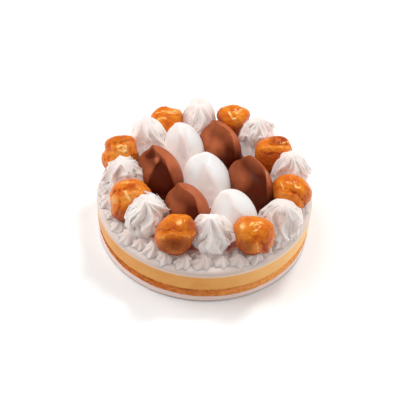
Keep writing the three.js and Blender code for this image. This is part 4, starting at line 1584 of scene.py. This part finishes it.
class CAKE_OT_peaks(Operator):
    """Makes the piped cream peaks between the puffs"""
    bl_idname = "cake.peaks"
    bl_label = "Cream peaks"

    def execute(self, context):
        colours = context.scene.cake.colours
        whipped = whipped_material("whipped_peaks", colours.cream, colours.cream_patch, roughness=0.48)
        # Painted shade in the grooves and over whole peaks.
        tint_by(whipped, attribute_value(whipped.node_tree, "shade"), colours.cream_shade)
        # Painted glow, strongest at the feet and on the fronts of the peaks.
        paint_glow(whipped, attribute_value(whipped.node_tree, "deep"), colours.cream_glow, colours.low_glow)
        pattern = ring_cage("peak_cage", PEAK_COLUMNS, PEAK_LOWER_ROWS + PEAK_UPPER_ROWS)
        for node, spec in PEAKS.items():
            piece = own_copy(pattern, f"cream_{node}")
            shape_cage(piece, PEAK_COLUMNS, peak_place(spec))
            for amount, scale in PEAK_RUFFLES:
                ruffle(piece, amount, scale, spec["seed"])
            fold_skin(piece, spec)
            paint_peak_glow(piece, spec)
            dress(piece, node, "cream", whipped)
        remove(pattern)
        return {"FINISHED"}


class CAKE_OT_dollops(Operator):
    """Makes the chocolate and vanilla dollops in the middle"""
    bl_idname = "cake.dollops"
    bl_label = "Dollops"

    def execute(self, context):
        settings = context.scene.cake
        colours = settings.colours
        creams = {"chocolate": chocolate_material(colours), "vanilla": vanilla_material(colours)}
        for node, spec in DOLLOPS.items():
            kind = node.split("_")[0]
            crisp = 1.0 if kind == "chocolate" else settings.sizes.vanilla_crest
            ridge, dip = settings.sizes.crest * crisp, settings.sizes.hollow * crisp
            piece = piped_dollop(f"piped_{node}", spec, ridge, dip)
            dress(piece, node, kind, creams[kind])
        return {"FINISHED"}


class CAKE_OT_stage(Operator):
    """Makes the floor, the lights and the camera"""
    bl_idname = "cake.stage"
    bl_label = "Stage"

    def execute(self, context):
        scene = context.scene
        scene.view_settings.view_transform = "Standard"
        self.floor()
        self.world(scene)
        for name, light in LIGHTS.items():
            self.area(name, *light)
        self.camera(scene)
        return {"FINISHED"}

    def floor(self):
        """A plain pale floor."""
        deselect()
        bpy.ops.mesh.primitive_plane_add(size=FLOOR_SIZE, location=(0, 0, -FLOOR_GAP))
        floor = added("floor")
        material, _, shader = start_material("pale_floor", roughness=0.8, specular=0.1)
        shader.inputs["Base Color"].default_value = rgba(FLOOR_COLOUR)
        shader.inputs["Emission Color"].default_value = (1, 1, 1, 1)
        shader.inputs["Emission Strength"].default_value = FLOOR_GLOW
        floor.data.materials.append(material)

    def world(self, scene):
        """Soft light from all around, which gloss does not mirror."""
        scene.world = bpy.data.worlds.new("soft_room")
        scene.world.use_nodes = True
        sky = scene.world.node_tree.nodes["Background"]
        sky.inputs["Color"].default_value = rgba(SKY_COLOUR)
        sky.inputs["Strength"].default_value = SKY_STRENGTH
        scene.world.cycles_visibility.glossy = False

    def area(self, name, toward, away, size, power, colour, in_gloss):
        """A round light that faces the cake."""
        place = Vector(toward).normalized() * away
        deselect()
        bpy.ops.object.light_add(type="AREA", location=place)
        light = added(name)
        light.rotation_euler = place.to_track_quat("Z", "Y").to_euler()
        light.data.shape = "DISK"
        light.data.size = size
        light.data.energy = power
        light.data.color = colour
        light.visible_glossy = in_gloss

    def camera(self, scene):
        """The camera of the photograph."""
        deselect()
        bpy.ops.object.camera_add(location=CAMERA_PLACE)
        camera = added("photo_camera")
        yaw = Matrix.Rotation(math.radians(CAMERA_YAW), 4, "Z")
        pitch = Matrix.Rotation(math.radians(90 - CAMERA_PITCH), 4, "X")
        roll = Matrix.Rotation(math.radians(CAMERA_ROLL), 4, "Z")
        camera.matrix_world = Matrix.Translation(CAMERA_PLACE) @ yaw @ pitch @ roll
        camera.data.sensor_width = SENSOR
        camera.data.lens = FOCAL_PIXELS / FRAME_PIXELS * SENSOR
        camera.data.clip_start = NEAR_CLIP
        scene.camera = camera


STEPS = (CAKE_OT_layers, CAKE_OT_cream_top, CAKE_OT_puffs, CAKE_OT_peaks, CAKE_OT_dollops, CAKE_OT_stage)


class CAKE_PT_panel(Panel):
    """Lists the steps that build the cake"""
    bl_label = "Saint Honore Cake"
    bl_idname = "CAKE_PT_panel"
    bl_space_type = "VIEW_3D"
    bl_region_type = "UI"
    bl_category = "Cake"

    def draw(self, context):
        for step in STEPS:
            self.layout.operator(step.bl_idname)
        for group in (context.scene.cake.sizes, context.scene.cake.colours):
            box = self.layout.box()
            for name in group.__annotations__:
                box.prop(group, name)


CLASSES = (CakeColours, CakeSizes, CakeSettings, *STEPS, CAKE_PT_panel)


def register():
    for kind in CLASSES:
        bpy.utils.register_class(kind)
    bpy.types.Scene.cake = PointerProperty(type=CakeSettings)


def unregister():
    del bpy.types.Scene.cake
    for kind in reversed(CLASSES):
        bpy.utils.unregister_class(kind)


def main():
    register()
    bpy.ops.cake.layers()
    bpy.ops.cake.cream_top()
    bpy.ops.cake.puffs()
    bpy.ops.cake.peaks()
    bpy.ops.cake.dollops()
    bpy.ops.cake.stage()
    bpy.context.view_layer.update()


if __name__ == "__main__":
    main()
